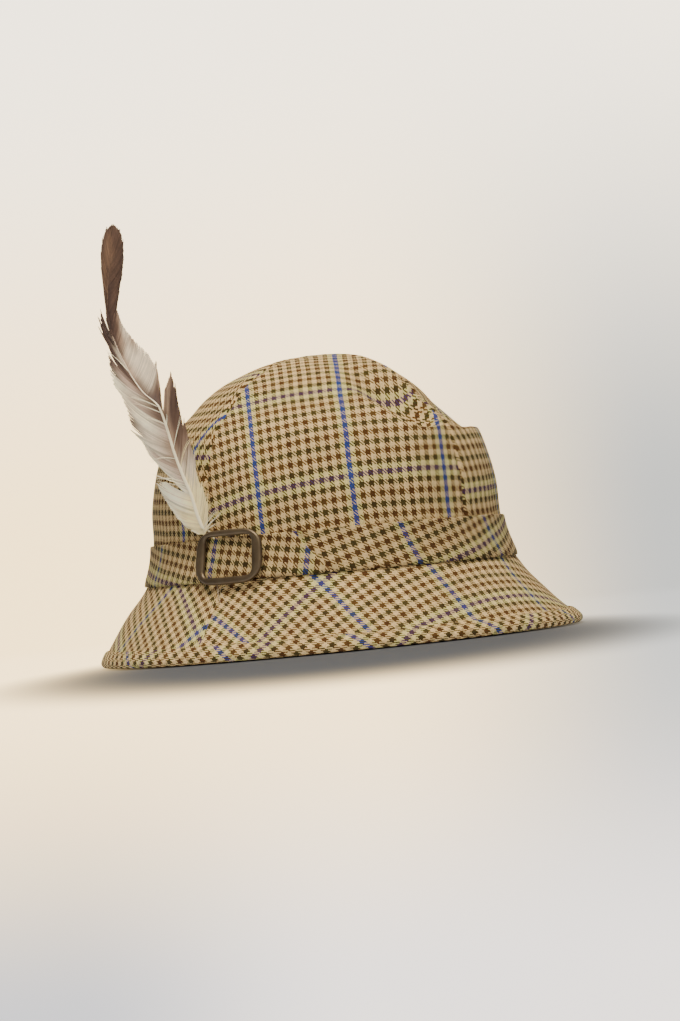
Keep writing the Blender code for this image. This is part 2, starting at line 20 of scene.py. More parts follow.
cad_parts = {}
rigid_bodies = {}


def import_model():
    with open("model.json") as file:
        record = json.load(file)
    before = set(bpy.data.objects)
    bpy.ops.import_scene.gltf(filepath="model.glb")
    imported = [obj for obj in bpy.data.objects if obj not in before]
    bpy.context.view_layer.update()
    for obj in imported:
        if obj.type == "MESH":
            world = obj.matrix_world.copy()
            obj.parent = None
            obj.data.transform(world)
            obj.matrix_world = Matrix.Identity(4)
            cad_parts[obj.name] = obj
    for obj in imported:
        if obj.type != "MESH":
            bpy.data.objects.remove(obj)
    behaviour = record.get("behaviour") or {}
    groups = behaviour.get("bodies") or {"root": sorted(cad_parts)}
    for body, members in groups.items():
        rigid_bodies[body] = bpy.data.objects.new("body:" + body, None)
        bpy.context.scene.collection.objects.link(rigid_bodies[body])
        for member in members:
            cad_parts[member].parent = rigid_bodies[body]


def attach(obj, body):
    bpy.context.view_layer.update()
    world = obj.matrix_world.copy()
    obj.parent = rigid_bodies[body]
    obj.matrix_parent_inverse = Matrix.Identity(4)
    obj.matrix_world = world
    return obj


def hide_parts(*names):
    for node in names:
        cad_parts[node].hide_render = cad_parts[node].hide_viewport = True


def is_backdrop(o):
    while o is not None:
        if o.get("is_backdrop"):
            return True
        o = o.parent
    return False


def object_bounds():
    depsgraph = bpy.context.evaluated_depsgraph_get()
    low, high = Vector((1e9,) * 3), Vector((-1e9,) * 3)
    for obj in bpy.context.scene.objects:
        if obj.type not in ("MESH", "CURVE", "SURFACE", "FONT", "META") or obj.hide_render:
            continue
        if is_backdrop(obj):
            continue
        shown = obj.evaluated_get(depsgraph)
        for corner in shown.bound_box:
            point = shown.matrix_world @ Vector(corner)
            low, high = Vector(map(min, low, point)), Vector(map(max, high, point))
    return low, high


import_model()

LOG = logging.getLogger("trilby")
CLOTH_MAP = "cloth"
BARB_TONE = "barb_tone"
WEFT_APART = 1000.5  # keeps the weft threads' numbers away from the warp threads'
CLOTH_CREASE = 60.0  # degrees up to which folded cloth is shaded smooth
WELD = 1e-6  # points nearer than this, in metres, are one
MILLIMETRE = 0.001
QUARTER = 90.0  # degrees
HUMP = 27.0 / 4.0  # brings the top of t (1 - t)^2 to 1
UP = (0.0, 0.0, 1.0)

Colour = tuple[int, int, int]
Stop = tuple[float, Colour]
Row = TypeVar("Row")
Socket = bpy.types.NodeSocket
Piece = bpy.types.Object
Value = Socket | float | Sequence[float]


def linear(colour: Colour) -> tuple[float, float, float, float]:
    """A screen colour from 0 to 255 as the linear colour that a shader takes.

    Args:
        colour: Red, green and blue, from 0 to 255.

    Returns:
        Red, green, blue and alpha, linear, from 0 to 1.
    """
    shares = [value / 255.0 for value in colour]
    red, green, blue = [s / 12.92 if s <= 0.04045 else ((s + 0.055) / 1.055) ** 2.4 for s in shares]
    return red, green, blue, 1.0


def smooth(share: float) -> float:
    """An S-shaped step from 0 to 1, by the share of the way along it."""
    share = min(1.0, max(0.0, share))
    return share * share * (3.0 - 2.0 * share)


def rows(kind: Callable[..., Row], *values: tuple[float, ...]) -> tuple[Row, ...]:
    """A table whose rows have named columns."""
    return tuple(kind(*row) for row in values)


def half_turn(bearing: float) -> float:
    """The same bearing, from -180 to 180."""
    return (bearing + 180.0) % 360.0 - 180.0


def curve_through(keys: Sequence[float], values: Sequence[float], at: float) -> float:
    """A value at a key, on a curve through the rows that never overshoots them.

    Args:
        keys: Rising keys.
        values: The value at each key.
        at: The key that is asked for.

    Returns:
        The value there.
    """
    last = len(keys) - 1
    chords = [(values[k + 1] - values[k]) / (keys[k + 1] - keys[k]) for k in range(last)]
    slopes = [chords[0]]
    for before, after in zip(chords, chords[1:]):
        rising = before * after > 0.0
        slopes.append(2.0 * before * after / (before + after) if rising else 0.0)
    slopes.append(chords[-1])
    k = max(i for i in range(last) if keys[i] <= at or i == 0)
    span = keys[k + 1] - keys[k]
    t = min(1.0, max(0.0, (at - keys[k]) / span))
    start = (2.0 * t - 3.0) * t * t + 1.0
    leave = ((t - 2.0) * t + 1.0) * t * span
    arrive = (t - 1.0) * t * t * span
    return values[k] * start + values[k + 1] * (1.0 - start) + slopes[k] * leave + slopes[k + 1] * arrive


class Draft:
    """The node tree of a material or of the world, written as small formulas."""

    def __init__(self, name: str, world: bpy.types.World | None = None) -> None:
        """Starts a material with its own shader, or takes a world.

        Args:
            name: The material's name.
            world: The world, where the tree is one's.
        """
        self.material = world or bpy.data.materials.new(name)
        self.material.use_nodes = True
        self.tree = self.material.node_tree
        self.shader = self.tree.nodes["Background" if world else "Principled BSDF"]

    def node(self, kind: str, **settings: object) -> bpy.types.Node:
        """Adds a node.

        Args:
            kind: Blender's name for its type.
            settings: Its options.

        Returns:
            The node.
        """
        made = self.tree.nodes.new(kind)
        for name, value in settings.items():
            setattr(made, name, value)
        return made

    def feed(self, socket: Socket, value: Value) -> None:
        """Links a socket to an output, or sets its value.

        Args:
            socket: The input.
            value: The output or the value.
        """
        if isinstance(value, Socket):
            self.tree.links.new(value, socket)
        else:
            socket.default_value = value

    def place(self) -> Socket:
        """The point in the piece's own coordinates."""
        return self.node("ShaderNodeTexCoord").outputs["Object"]

    def split(self, vector: Value) -> tuple[Socket, ...]:
        """The three numbers of a vector.

        Args:
            vector: The vector.

        Returns:
            A socket for each.
        """
        made = self.node("ShaderNodeSeparateXYZ")
        self.feed(made.inputs[0], vector)
        return tuple(made.outputs)

    def wire(self, made: bpy.types.Node, result: int | str, *values: Value, **named: Value) -> Socket:
        """Feeds a node and takes one of its outputs.

        Args:
            made: The node.
            result: The output.
            values: What goes into its first inputs.
            named: What goes into inputs by name, with _ for a space.

        Returns:
            The output's socket.
        """
        for socket, value in zip(made.inputs, values):
            self.feed(socket, value)
        for name, value in named.items():
            self.feed(made.inputs[name.replace("_", " ")], value)
        return made.outputs[result]

    def math(self, operation: str, first: Value, second: Value = 0.0) -> Socket:
        """One step of arithmetic, by Blender's name for it."""
        return self.wire(self.node("ShaderNodeMath", operation=operation), 0, first, second)

    def vector(self, operation: str, *vectors: Value, result: str = "Vector") -> Socket:
        """One step of arithmetic on vectors, whose result is a Vector or a Value."""
        return self.wire(self.node("ShaderNodeVectorMath", operation=operation), result, *vectors)

    def mix(self, share: Value, first: Value, second: Value, blend: str = "MIX") -> Socket:
        """Two colours mixed.

        Args:
            share: How much of the second.
            first: The colour at 0.
            second: The colour at 1.
            blend: How they are blended.

        Returns:
            The mixed colour's socket.
        """
        made = self.node("ShaderNodeMix", data_type="RGBA", blend_type=blend)
        self.feed(made.inputs[0], share)
        self.feed(made.inputs[6], first)
        self.feed(made.inputs[7], second)
        return made.outputs[2]

    def ramp(self, at: Value, stops: Sequence[Stop], stepped: bool = False) -> Socket:
        """A colour that changes along a number.

        Args:
            at: The number, from 0 to 1.
            stops: Places along it, each with its colour.
            stepped: Whether the colour jumps from stop to stop.

        Returns:
            The colour's socket.
        """
        made = self.node("ShaderNodeValToRGB")
        made.color_ramp.interpolation = "CONSTANT" if stepped else "EASE"
        elements = made.color_ramp.elements
        elements.remove(elements[1])
        for k, (place, colour) in enumerate(stops):
            stop = elements[0] if k == 0 else elements.new(place)
            stop.position = place
            stop.color = linear(colour)
        self.feed(made.inputs[0], at)
        return made.outputs[0]

    def noise(self, at: Value, scale: float, detail: float = 2.0, result: str = "Fac") -> Socket:
        """Soft noise with so many waves to a metre: one as Fac, or three as Color."""
        return self.wire(self.node("ShaderNodeTexNoise"), result, Vector=at, Scale=scale, Detail=detail)

    def spread(self, at: Value, low: float, high: float) -> Socket:
        """A number from 0 to 1 moved into a range."""
        return self.wire(self.node("ShaderNodeMapRange"), 0, Value=at, To_Min=low, To_Max=high)

    def uneven(self, at: Value, by: float) -> Socket:
        """A factor near 1, from a number from 0 to 1."""
        return self.spread(at, 1.0 - by, 1.0 + by)

    def step(self, at: Value, start: float, end: float) -> Socket:
        """A smooth step from 0 at a start to 1 at an end."""
        made = self.node("ShaderNodeMapRange", interpolation_type="SMOOTHSTEP")
        return self.wire(made, 0, Value=at, From_Min=start, From_Max=end)

    def bump(self, height: Value, strength: float, distance: float = 0.0001) -> None:
        """Raises the surface by a height from 0 to 1, whose 1 is a real distance."""
        made = self.node("ShaderNodeBump")
        self.set(Normal=self.wire(made, 0, Strength=strength, Distance=distance, Height=height))

    def set(self, **values: Value) -> None:
        """Sets sockets of the shader, with _ for a space in a name."""
        self.wire(self.shader, 0, **values)


class Yarn(Enum):
    """The yarns of the tweed, as screen colours."""

    CREAM = (221, 192, 135)
    STRAW = (211, 198, 128)
    OAT = (217, 183, 129)
    BARK = (70, 48, 22)
    OLIVE = (80, 63, 29)
    RUST = (92, 56, 25)
    MOSS = (60, 55, 26)
    BLUE = (42, 64, 132)
    PURPLE = (73, 49, 90)


WARP_CHART = (Yarn.STRAW, Yarn.BLUE, Yarn.STRAW, Yarn.OLIVE)
WARP_CHART += (Yarn.CREAM, Yarn.BARK, Yarn.CREAM, Yarn.OLIVE) * 4
WEFT_CHART = (Yarn.STRAW, Yarn.PURPLE, Yarn.STRAW, Yarn.MOSS)
WEFT_CHART += (Yarn.OAT, Yarn.RUST, Yarn.OAT, Yarn.MOSS) * 4


@dataclass(frozen=True)
class TweedFinish:
    """A houndstooth tweed in a two-and-two twill, with a window-pane line in each direction."""

    name: str
    threads_in_group: int = 6
    twill: int = 4
    twill_phase: float = 1.0
    drift: float = 2.4
    drift_scale: float = 55.0
    fuzz: float = 0.9
    fuzz_scale: float = 3200.0
    hair: float = 0.6
    hair_scale: float = 4800.0
    yarn_unevenness: float = 0.16
    slub: float = 0.38
    slub_scale: float = 520.0
    cloud: float = 0.10
    cloud_scale: float = 22.0
    thread_shade: float = 0.74
    bump_height: float = 0.00020
    bump_strength: float = 0.45
    roughness: float = 0.93
    gloss: float = 0.12
    sheen: float = 0.05
    sheen_roughness: float = 0.5
    sheen_tint: tuple[float, ...] = (0.92, 0.82, 0.62, 1.0)
    # painted shade: the share by which the whole cloth is darkened, for a copy of the tweed that lies in
    # shade
    depth: float = 0.0
    line_cover: float = 0.5

    @property
    def threads_in_cell(self) -> int:
        """Threads from one window-pane line to the next."""
        return self.threads_in_group * len(WARP_CHART)

    def group(self, draft: Draft, thread: Value, groups: int) -> Socket:
        """The place of a thread's group in a chart of so many groups, counted from 0."""
        group = draft.math("FLOOR", draft.math("DIVIDE", thread, float(self.threads_in_group)))
        return draft.math("FLOORED_MODULO", group, float(groups))

    def chart(self, draft: Draft, thread: Value, chart: Sequence[Yarn]) -> Socket:
        """The colour of a thread, by its place in its chart.

        Args:
            draft: The material that is being written.
            thread: The thread's coordinate, counted in threads.
            chart: The warp's or the weft's.

        Returns:
            The yarn's colour socket.
        """
        groups = len(chart)
        place = self.group(draft, thread, groups)
        share = draft.math("DIVIDE", draft.math("ADD", place, 0.5), float(groups))
        stops = [(k / groups, yarn.value) for k, yarn in enumerate(chart)]
        return draft.ramp(share, stops, stepped=True)

    def threads(self, draft: Draft, place: Value) -> Socket:
        """The cloth map counted in threads, drawn a little out of line as real threads lie.

        Args:
            draft: The material that is being written.
            place: The point in the piece.

        Returns:
            The coordinates across the warp and across the weft.
        """
        cells = draft.node("ShaderNodeUVMap", uv_map=CLOTH_MAP).outputs["UV"]
        line = (WARP_CHART.index(Yarn.BLUE) + 0.5) * self.threads_in_group
        threads = draft.vector("MULTIPLY", cells, (float(self.threads_in_cell),) * 3)
        threads = draft.vector("ADD", threads, (line, line, 0.0))
        for by, scale, detail in ((self.drift, self.drift_scale, 1.0), (self.fuzz, self.fuzz_scale, 2.0)):
            off = draft.vector("SUBTRACT", draft.noise(place, scale, detail, "Color"), (0.5,) * 3)
            threads = draft.vector("ADD", threads, draft.vector("MULTIPLY", off, (by,) * 3))
        return threads

    def material(self) -> bpy.types.Material:
        """Writes the material.

        Returns:
            The tweed, read from the piece's cloth map.
        """
        draft = Draft(self.name)
        place = draft.place()
        across, along, _ = draft.split(self.threads(draft, place))
        end, pick = draft.math("FLOOR", across), draft.math("FLOOR", along)
        diagonal = draft.math("ADD", draft.math("ADD", end, pick), self.twill_phase)
        step = draft.math("FLOORED_MODULO", diagonal, float(self.twill))
        warp_up = draft.math("LESS_THAN", step, self.cover(draft, across))
        warp = self.chart(draft, across, WARP_CHART)
        colour = draft.mix(warp_up, self.chart(draft, along, WEFT_CHART), warp)
        colour = draft.mix(1.0, colour, self.unevenness(draft, place, warp_up, end, pick), "MULTIPLY")
        profile = self.profile(draft, warp_up, across, along)
        # painted shade: the cloth as a whole is darkened by depth
        lightest = 1.0 - self.depth
        # painted shade: each uppermost thread darkens toward its edges by thread_shade, where shade falls
        # between threads
        shade = draft.spread(profile, self.thread_shade * lightest, lightest)
        colour = draft.mix(1.0, colour, shade, "MULTIPLY")
        draft.set(Base_Color=colour, Roughness=self.roughness, Specular_IOR_Level=self.gloss)
        draft.set(Sheen_Weight=self.sheen, Sheen_Roughness=self.sheen_roughness)
        draft.set(Sheen_Tint=self.sheen_tint)
        hair = draft.math("MULTIPLY", draft.noise(place, self.hair_scale, 1.0), self.hair)
        draft.bump(draft.math("ADD", profile, hair), self.bump_strength, self.bump_height)
        return draft.material

    def cover(self, draft: Draft, across: Value) -> Socket:
        """How many of the twill's steps show the warp: half, and more on the blue line.

        Args:
            draft: The material that is being written.
            across: The coordinate across the warp threads.

        Returns:
            The count's socket.
        """
        place = self.group(draft, across, len(WARP_CHART))
        blue = draft.math("COMPARE", place, float(WARP_CHART.index(Yarn.BLUE)))
        more = draft.math("MULTIPLY", blue, (self.line_cover - 0.5) * self.twill)
        return draft.math("ADD", 0.5 * self.twill, more)

    @staticmethod
    def choose(draft: Draft, warp_up: Value, warp: Value, weft: Value) -> Socket:
        """The warp's number where warp_up is 1, else the weft's."""
        apart = draft.math("SUBTRACT", warp, weft)
        return draft.math("ADD", weft, draft.math("MULTIPLY", warp_up, apart))

    def unevenness(self, draft: Draft, place: Value, warp_up: Value, end: Value, pick: Value) -> Value:
        """How light each yarn is, thread by thread and along its length.

        Args:
            draft: The material that is being written.
            place: The point in the piece.
            warp_up: 1 where the warp is on top.
            end: The warp thread's number.
            pick: The weft thread's number.

        Returns:
            A factor for the colour.
        """
        white = draft.node("ShaderNodeTexWhiteNoise", noise_dimensions="1D")
        number = self.choose(draft, warp_up, end, draft.math("ADD", pick, WEFT_APART))
        thread = draft.uneven(draft.wire(white, "Value", W=number), self.yarn_unevenness)
        slub = draft.uneven(draft.noise(place, self.slub_scale, 3.0), self.slub)
        cloud = draft.uneven(draft.noise(place, self.cloud_scale), self.cloud)
        return draft.math("MULTIPLY", draft.math("MULTIPLY", thread, slub), cloud)

    def profile(self, draft: Draft, warp_up: Value, across: Value, along: Value) -> Socket:
        """The round top of the thread that lies uppermost.

        Args:
            draft: The material that is being written.
            warp_up: 1 where the warp is on top.
            across: The coordinate across the warp threads.
            along: The coordinate across the weft threads.

        Returns:
            0 between threads and 1 on top of one.
        """
        share = self.choose(draft, warp_up, draft.math("FRACT", across), draft.math("FRACT", along))
        off_centre = draft.math("SUBTRACT", draft.math("MULTIPLY", share, 2.0), 1.0)
        return draft.math("SUBTRACT", 1.0, draft.math("POWER", draft.math("ABSOLUTE", off_centre), 2.0))


@dataclass(frozen=True)
class BronzeFinish:
    """Satin olive-bronze with a browner patina in patches and fine rubbed marks."""

    name: str = "olive_bronze"
    base: Colour = (116, 101, 79)
    patina: Colour = (82, 69, 53)
    patch_scale: float = 90.0
    patch_reach: tuple[float, float] = (-0.3, 1.3)
    rub_scale: float = 1500.0
    rub_stretch: tuple[float, ...] = (1.0, 1.0, 0.15)
    roughness: tuple[float, float] = (0.30, 0.50)
    metallic: float = 0.75
    gloss: float = 0.4
    bump_strength: float = 0.25

    def material(self) -> bpy.types.Material:
        """Writes the material.

        Returns:
            The bronze, on the piece's own coordinates.
        """
        draft = Draft(self.name)
        place = draft.place()
        patch = draft.noise(place, self.patch_scale, 3.0)
        rubbed = draft.noise(draft.vector("MULTIPLY", place, self.rub_stretch), self.rub_scale, 3.0)
        share = draft.spread(patch, *self.patch_reach)
        draft.set(Base_Color=draft.mix(share, linear(self.base), linear(self.patina)))
        draft.set(Metallic=self.metallic, Specular_IOR_Level=self.gloss)
        draft.set(Roughness=draft.spread(rubbed, *self.roughness))
        draft.bump(draft.math("ADD", rubbed, patch), self.bump_strength)
        return draft.material


@dataclass(frozen=True)
class VaneFinish:
    """Soft barbs, each with its own painted tone, faintly mottled and streaked."""

    name: str = "plume_barbs"
    mottle: float = 0.16
    mottle_scale: float = 260.0
    streak: float = 0.10
    streak_scale: float = 3000.0
    roughness: float = 0.62
    gloss: float = 0.35
    sheen: float = 0.25
    bump_strength: float = 0.2

    def material(self) -> bpy.types.Material:
        """Writes the material.

        Returns:
            The barbs' tones, with fine streaks along them.
        """
        draft = Draft(self.name)
        place = draft.place()
        tone = draft.node("ShaderNodeAttribute", attribute_name=BARB_TONE).outputs["Color"]
        mottle = draft.uneven(draft.noise(place, self.mottle_scale, 3.0), self.mottle)
        streak = draft.uneven(draft.noise(place, self.streak_scale, 1.0), self.streak)
        colour = draft.mix(1.0, tone, draft.math("MULTIPLY", mottle, streak), "MULTIPLY")
        draft.set(Base_Color=colour, Roughness=self.roughness)
        draft.set(Specular_IOR_Level=self.gloss, Sheen_Weight=self.sheen)
        draft.bump(draft.noise(place, self.streak_scale), self.bump_strength)
        return draft.material


@dataclass(frozen=True)
class QuillFinish:
    """Pale horn, glossier than the barbs, browner toward the top."""

    name: str = "plume_quill"
    top: float = 0.227
    stops: tuple[Stop, ...] = (
        (0.00, (255, 246, 206)),
        (0.55, (252, 238, 200)),
        (0.72, (190, 166, 140)),
        (0.84, (120, 92, 72)),
    )
    blur: float = 0.04
    blur_scale: float = 200.0
    roughness: float = 0.36
    coat: float = 0.2
    bump_scale: float = 900.0
    bump_strength: float = 0.1

    def material(self) -> bpy.types.Material:
        """Writes the material.

        Returns:
            The quill's horn, by height.
        """
        draft = Draft(self.name)
        place = draft.place()
        blur = draft.spread(draft.noise(place, self.blur_scale), -self.blur, self.blur)
        rise = draft.math("ADD", draft.math("DIVIDE", draft.split(place)[2], self.top), blur)
        draft.set(Base_Color=draft.ramp(rise, self.stops))
        draft.set(Roughness=self.roughness, Coat_Weight=self.coat)
        draft.bump(draft.noise(place, self.bump_scale), self.bump_strength)
        return draft.material


class DomeRow(NamedTuple):
    """One step up the undented crown, as shares of its plan and of its height."""

    reach: float
    rise: float


class DentRow(NamedTuple):
    """The pinch at one bearing: where up the crown it starts and ends, and its depth and bulge."""

    bearing: float
    fold: float
    top: float
    depth: float
    bulge: float


DOME = rows(
    DomeRow,
    (1.040, 0.000),
    (0.992, 0.185),
    (0.985, 0.350),
    (0.956, 0.480),
    (0.908, 0.600),
    (0.832, 0.692),
    (0.728, 0.772),
    (0.632, 0.848),
    (0.485, 0.918),
    (0.268, 0.978),
    (0.000, 1.000),
)

DENTS = rows(
    DentRow,
    (-180.0, 0.400, 0.90, 0.00, 0.00),
    (-100.0, 0.400, 0.92, 0.00, 0.00),
    (-68.0, 0.408, 0.94, 0.05, 0.10),
    (-50.0, 0.405, 0.95, 0.80, -0.40),
    (-36.0, 0.402, 0.96, 1.20, -0.40),
    (-20.0, 0.400, 0.95, 1.25, -0.10),
    (-8.0, 0.392, 0.93, 0.80, 0.00),
    (0.0, 0.395, 0.92, 0.22, 0.00),
    (6.0, 0.395, 0.80, 0.60, 0.30),
    (12.0, 0.400, 0.78, 0.92, 0.80),
    (18.0, 0.430, 0.79, 0.80, 0.80),
    (23.0, 0.490, 0.82, 0.52, 0.50),
    (28.0, 0.550, 0.85, 0.28, 0.20),
    (34.0, 0.600, 0.88, 0.10, 0.00),
    (44.0, 0.560, 0.88, 0.00, 0.00),
    (66.0, 0.400, 0.88, 0.00, 0.00),
    (180.0, 0.400, 0.90, 0.00, 0.00),
)


@dataclass(frozen=True)
class CrownForm:
    """The crown's outer face, by bearing and by how far up it."""

    half_length: float = 0.1010
    half_width: float = 0.0843
    height: float = 0.1135
    backward: float = 0.0035
    apex_forward: float = 0.0057
    hem_height: float = 0.0400
    hem_tilt: float = 0.0018
    dent_depth: float = 0.0150
    fold_bulge: float = 0.0030
    bulge_start: float = 0.10
    fold_softness: float = 0.008
    fold_reach: float = 0.020
    least_dent: float = 0.001
    slope_step: float = 0.004
    arc_steps: int = 24
    ripple: float = 0.00035
    ripple_length: float = 0.021

    @property
    def mean_radius(self) -> float:
        """The mean of the plan's two radii."""
        return 0.5 * (self.half_length + self.half_width)

    @lru_cache(maxsize=None)
    def dome(self, climb: float) -> tuple[float, float]:
        """The undented crown.

        Args:
            climb: How far up, 0 at the hem and 1 at the top.

        Returns:
            Its reach and its rise, as shares.
        """
        last = len(DOME) - 1
        k = min(last - 1, max(0, int(climb * last)))
        f = climb * last - k
        found = []
        for column in range(2):
            values = [row[column] for row in DOME]
            mirrored = values[last - 1] * (1.0 if column else -1.0)
            p0 = values[k - 1] if k > 0 else 2.0 * values[0] - values[1]
            p1, p2 = values[k], values[k + 1]
            p3 = values[k + 2] if k + 2 <= last else mirrored
            slope = 0.5 * (p2 - p0)
            bend = p0 - 2.5 * p1 + 2.0 * p2 - 0.5 * p3
            turn = 1.5 * (p1 - p2) + 0.5 * (p3 - p0)
            found.append(p1 + slope * f if f < 0.0 else p1 + (slope + (bend + turn * f) * f) * f)
        return found[0], found[1]

    @lru_cache(maxsize=None)
    def dent(self, bearing: float) -> DentRow:
        """The pinch at a bearing, on smooth curves through its rows.

        Args:
            bearing: Degrees from the front.

        Returns:
            The row for that bearing.
        """
        keys = [row.bearing for row in DENTS]
        values = [curve_through(keys, [row[c] for row in DENTS], bearing) for c in range(1, 5)]
        return DentRow(bearing, *values)

    def plan_radius(self, bearing: float) -> float:
        """Distance from the crown's axis to the edge of its plan."""
        angle = radians(bearing)
        return hypot(self.half_width * sin(angle), self.half_length * cos(angle))

    def profile(self, bearing: float, climb: float) -> tuple[float, float]:
        """The pinched crown in one meridian.

        Args:
            bearing: Which meridian.
            climb: How far up it.

        Returns:
            The distance from the axis and the height over the hem.
        """
        reach, rise = self.dome(climb)
        radius, height = self.plan_radius(bearing) * reach, self.height * rise
        dent = self.dent(bearing)
        bulge = self.fold_bulge * dent.bulge
        if climb <= dent.fold:
            start = self.bulge_start
            return radius + bulge * smooth((climb - start) / (dent.fold - start)), height
        t = (climb - dent.fold) / (dent.top - dent.fold)
        if t >= 1.0:
            return radius, height
        hollow = HUMP * t * (1.0 - t) ** 2
        return radius + bulge * (1.0 - t) ** 3, height - self.dent_depth * dent.depth * hollow

    def soft_profile(self, bearing: float, climb: float) -> tuple[float, float]:
        """The profile with its fold rounded over, as cloth rounds it.

        Args:
            bearing: Which meridian.
            climb: How far up it.

        Returns:
            The distance from the axis and the height over the hem.
        """
        dent = self.dent(bearing)
        if abs(dent.depth) < self.least_dent or abs(climb - dent.fold) > self.fold_reach:
            return self.profile(bearing, climb)
        found = [self.profile(bearing, climb + self.fold_softness * k) for k in range(-2, 3)]
        return sum(p[0] for p in found) / len(found), sum(p[1] for p in found) / len(found)

    def surface(self, bearing: float, climb: float, standoff: float = 0.0) -> Vector:
        """A point of the crown, or one that stands off it along the meridian's normal.

        Args:
            bearing: Degrees from the front, toward the wearer's right.
            climb: 0 at the hem and 1 at the top.
            standoff: How far outside the face, in metres.

        Returns:
            The point.
        """
        bearing = half_turn(bearing)
        low = self.soft_profile(bearing, climb - self.slope_step)
        high = self.soft_profile(bearing, min(1.0, climb + self.slope_step))
        out, up = high[1] - low[1], low[0] - high[0]
        length = hypot(out, up)
        radius, height = self.soft_profile(bearing, climb)
        radius += standoff * out / length
        if climb >= 1.0:
            radius = 0.0
        angle = radians(bearing)
        stretch = radius / self.plan_radius(bearing)
        y = -self.half_length * stretch * cos(angle)
        z = self.hem_height + height + standoff * up / length + self.hem_tilt * y / self.half_length
        lean = self.apex_forward * (height / self.height) * abs(height / self.height)
        return Vector((-self.half_width * stretch * sin(angle), y + self.backward - lean, z))

    def ripples(self, point: Vector) -> float:
        """The cloth's slight unevenness at a point, in metres."""
        return self.ripple * noise.noise(point / self.ripple_length)

    @lru_cache(maxsize=None)
    def plan_arc(self, bearing: float) -> float:
        """Distance round the plan from the front, positive toward the wearer's right.

        Args:
            bearing: Degrees from the front.

        Returns:
            The arc, in metres.
        """
        steps = max(2, int(abs(bearing)) * 2)
        total = 0.0
        for k in range(steps):
            angle = radians(bearing * (k + 0.5) / steps)
            total += hypot(self.half_length * sin(angle), self.half_width * cos(angle))
        return total * radians(bearing) / steps

    @lru_cache(maxsize=None)
    def climb_arc(self, bearing: float, climb: float) -> float:
        """Distance up the undented crown from the hem.

        Args:
            bearing: Which meridian.
            climb: How far up it.

        Returns:
            The arc, in metres.
        """
        total, last = 0.0, None
        for k in range(self.arc_steps + 1):
            reach, rise = self.dome(climb * k / self.arc_steps)
            spot = (self.plan_radius(bearing) * reach, self.height * rise)
            total += dist(spot, last) if last else 0.0
            last = spot
        return copysign(total, climb)


@dataclass(frozen=True)
class ClothLay:
    """How a piece was cut from the cloth: its turn and where a window-pane line of each kind falls."""

    warp_at: float
    weft_at: float
    warp_spacing: float = 0.050
    weft_spacing: float = 0.050
    turn: float = 0.0
    warp_lean: float = 0.0
    weft_lean: float = 0.0
    warp_bow: float = 0.0
    weft_bow: float = 0.0

    def cell(self, across: float, up: float) -> tuple[float, float]:
        """The pattern's coordinates at a place on the flat piece.

        Args:
            across: Distance to the right, seen from outside, in metres.
            up: Distance up, in metres.

        Returns:
            Cells from a blue line and from a purple line.
        """
        angle = radians(self.turn)
        u = across * cos(angle) + up * sin(angle)
        v = up * cos(angle) - across * sin(angle)
        warp = u + (self.warp_lean + self.warp_bow * v) * v - self.warp_at
        weft = v + (self.weft_lean + self.weft_bow * u) * u - self.weft_at
        return warp / self.warp_spacing, weft / self.weft_spacing


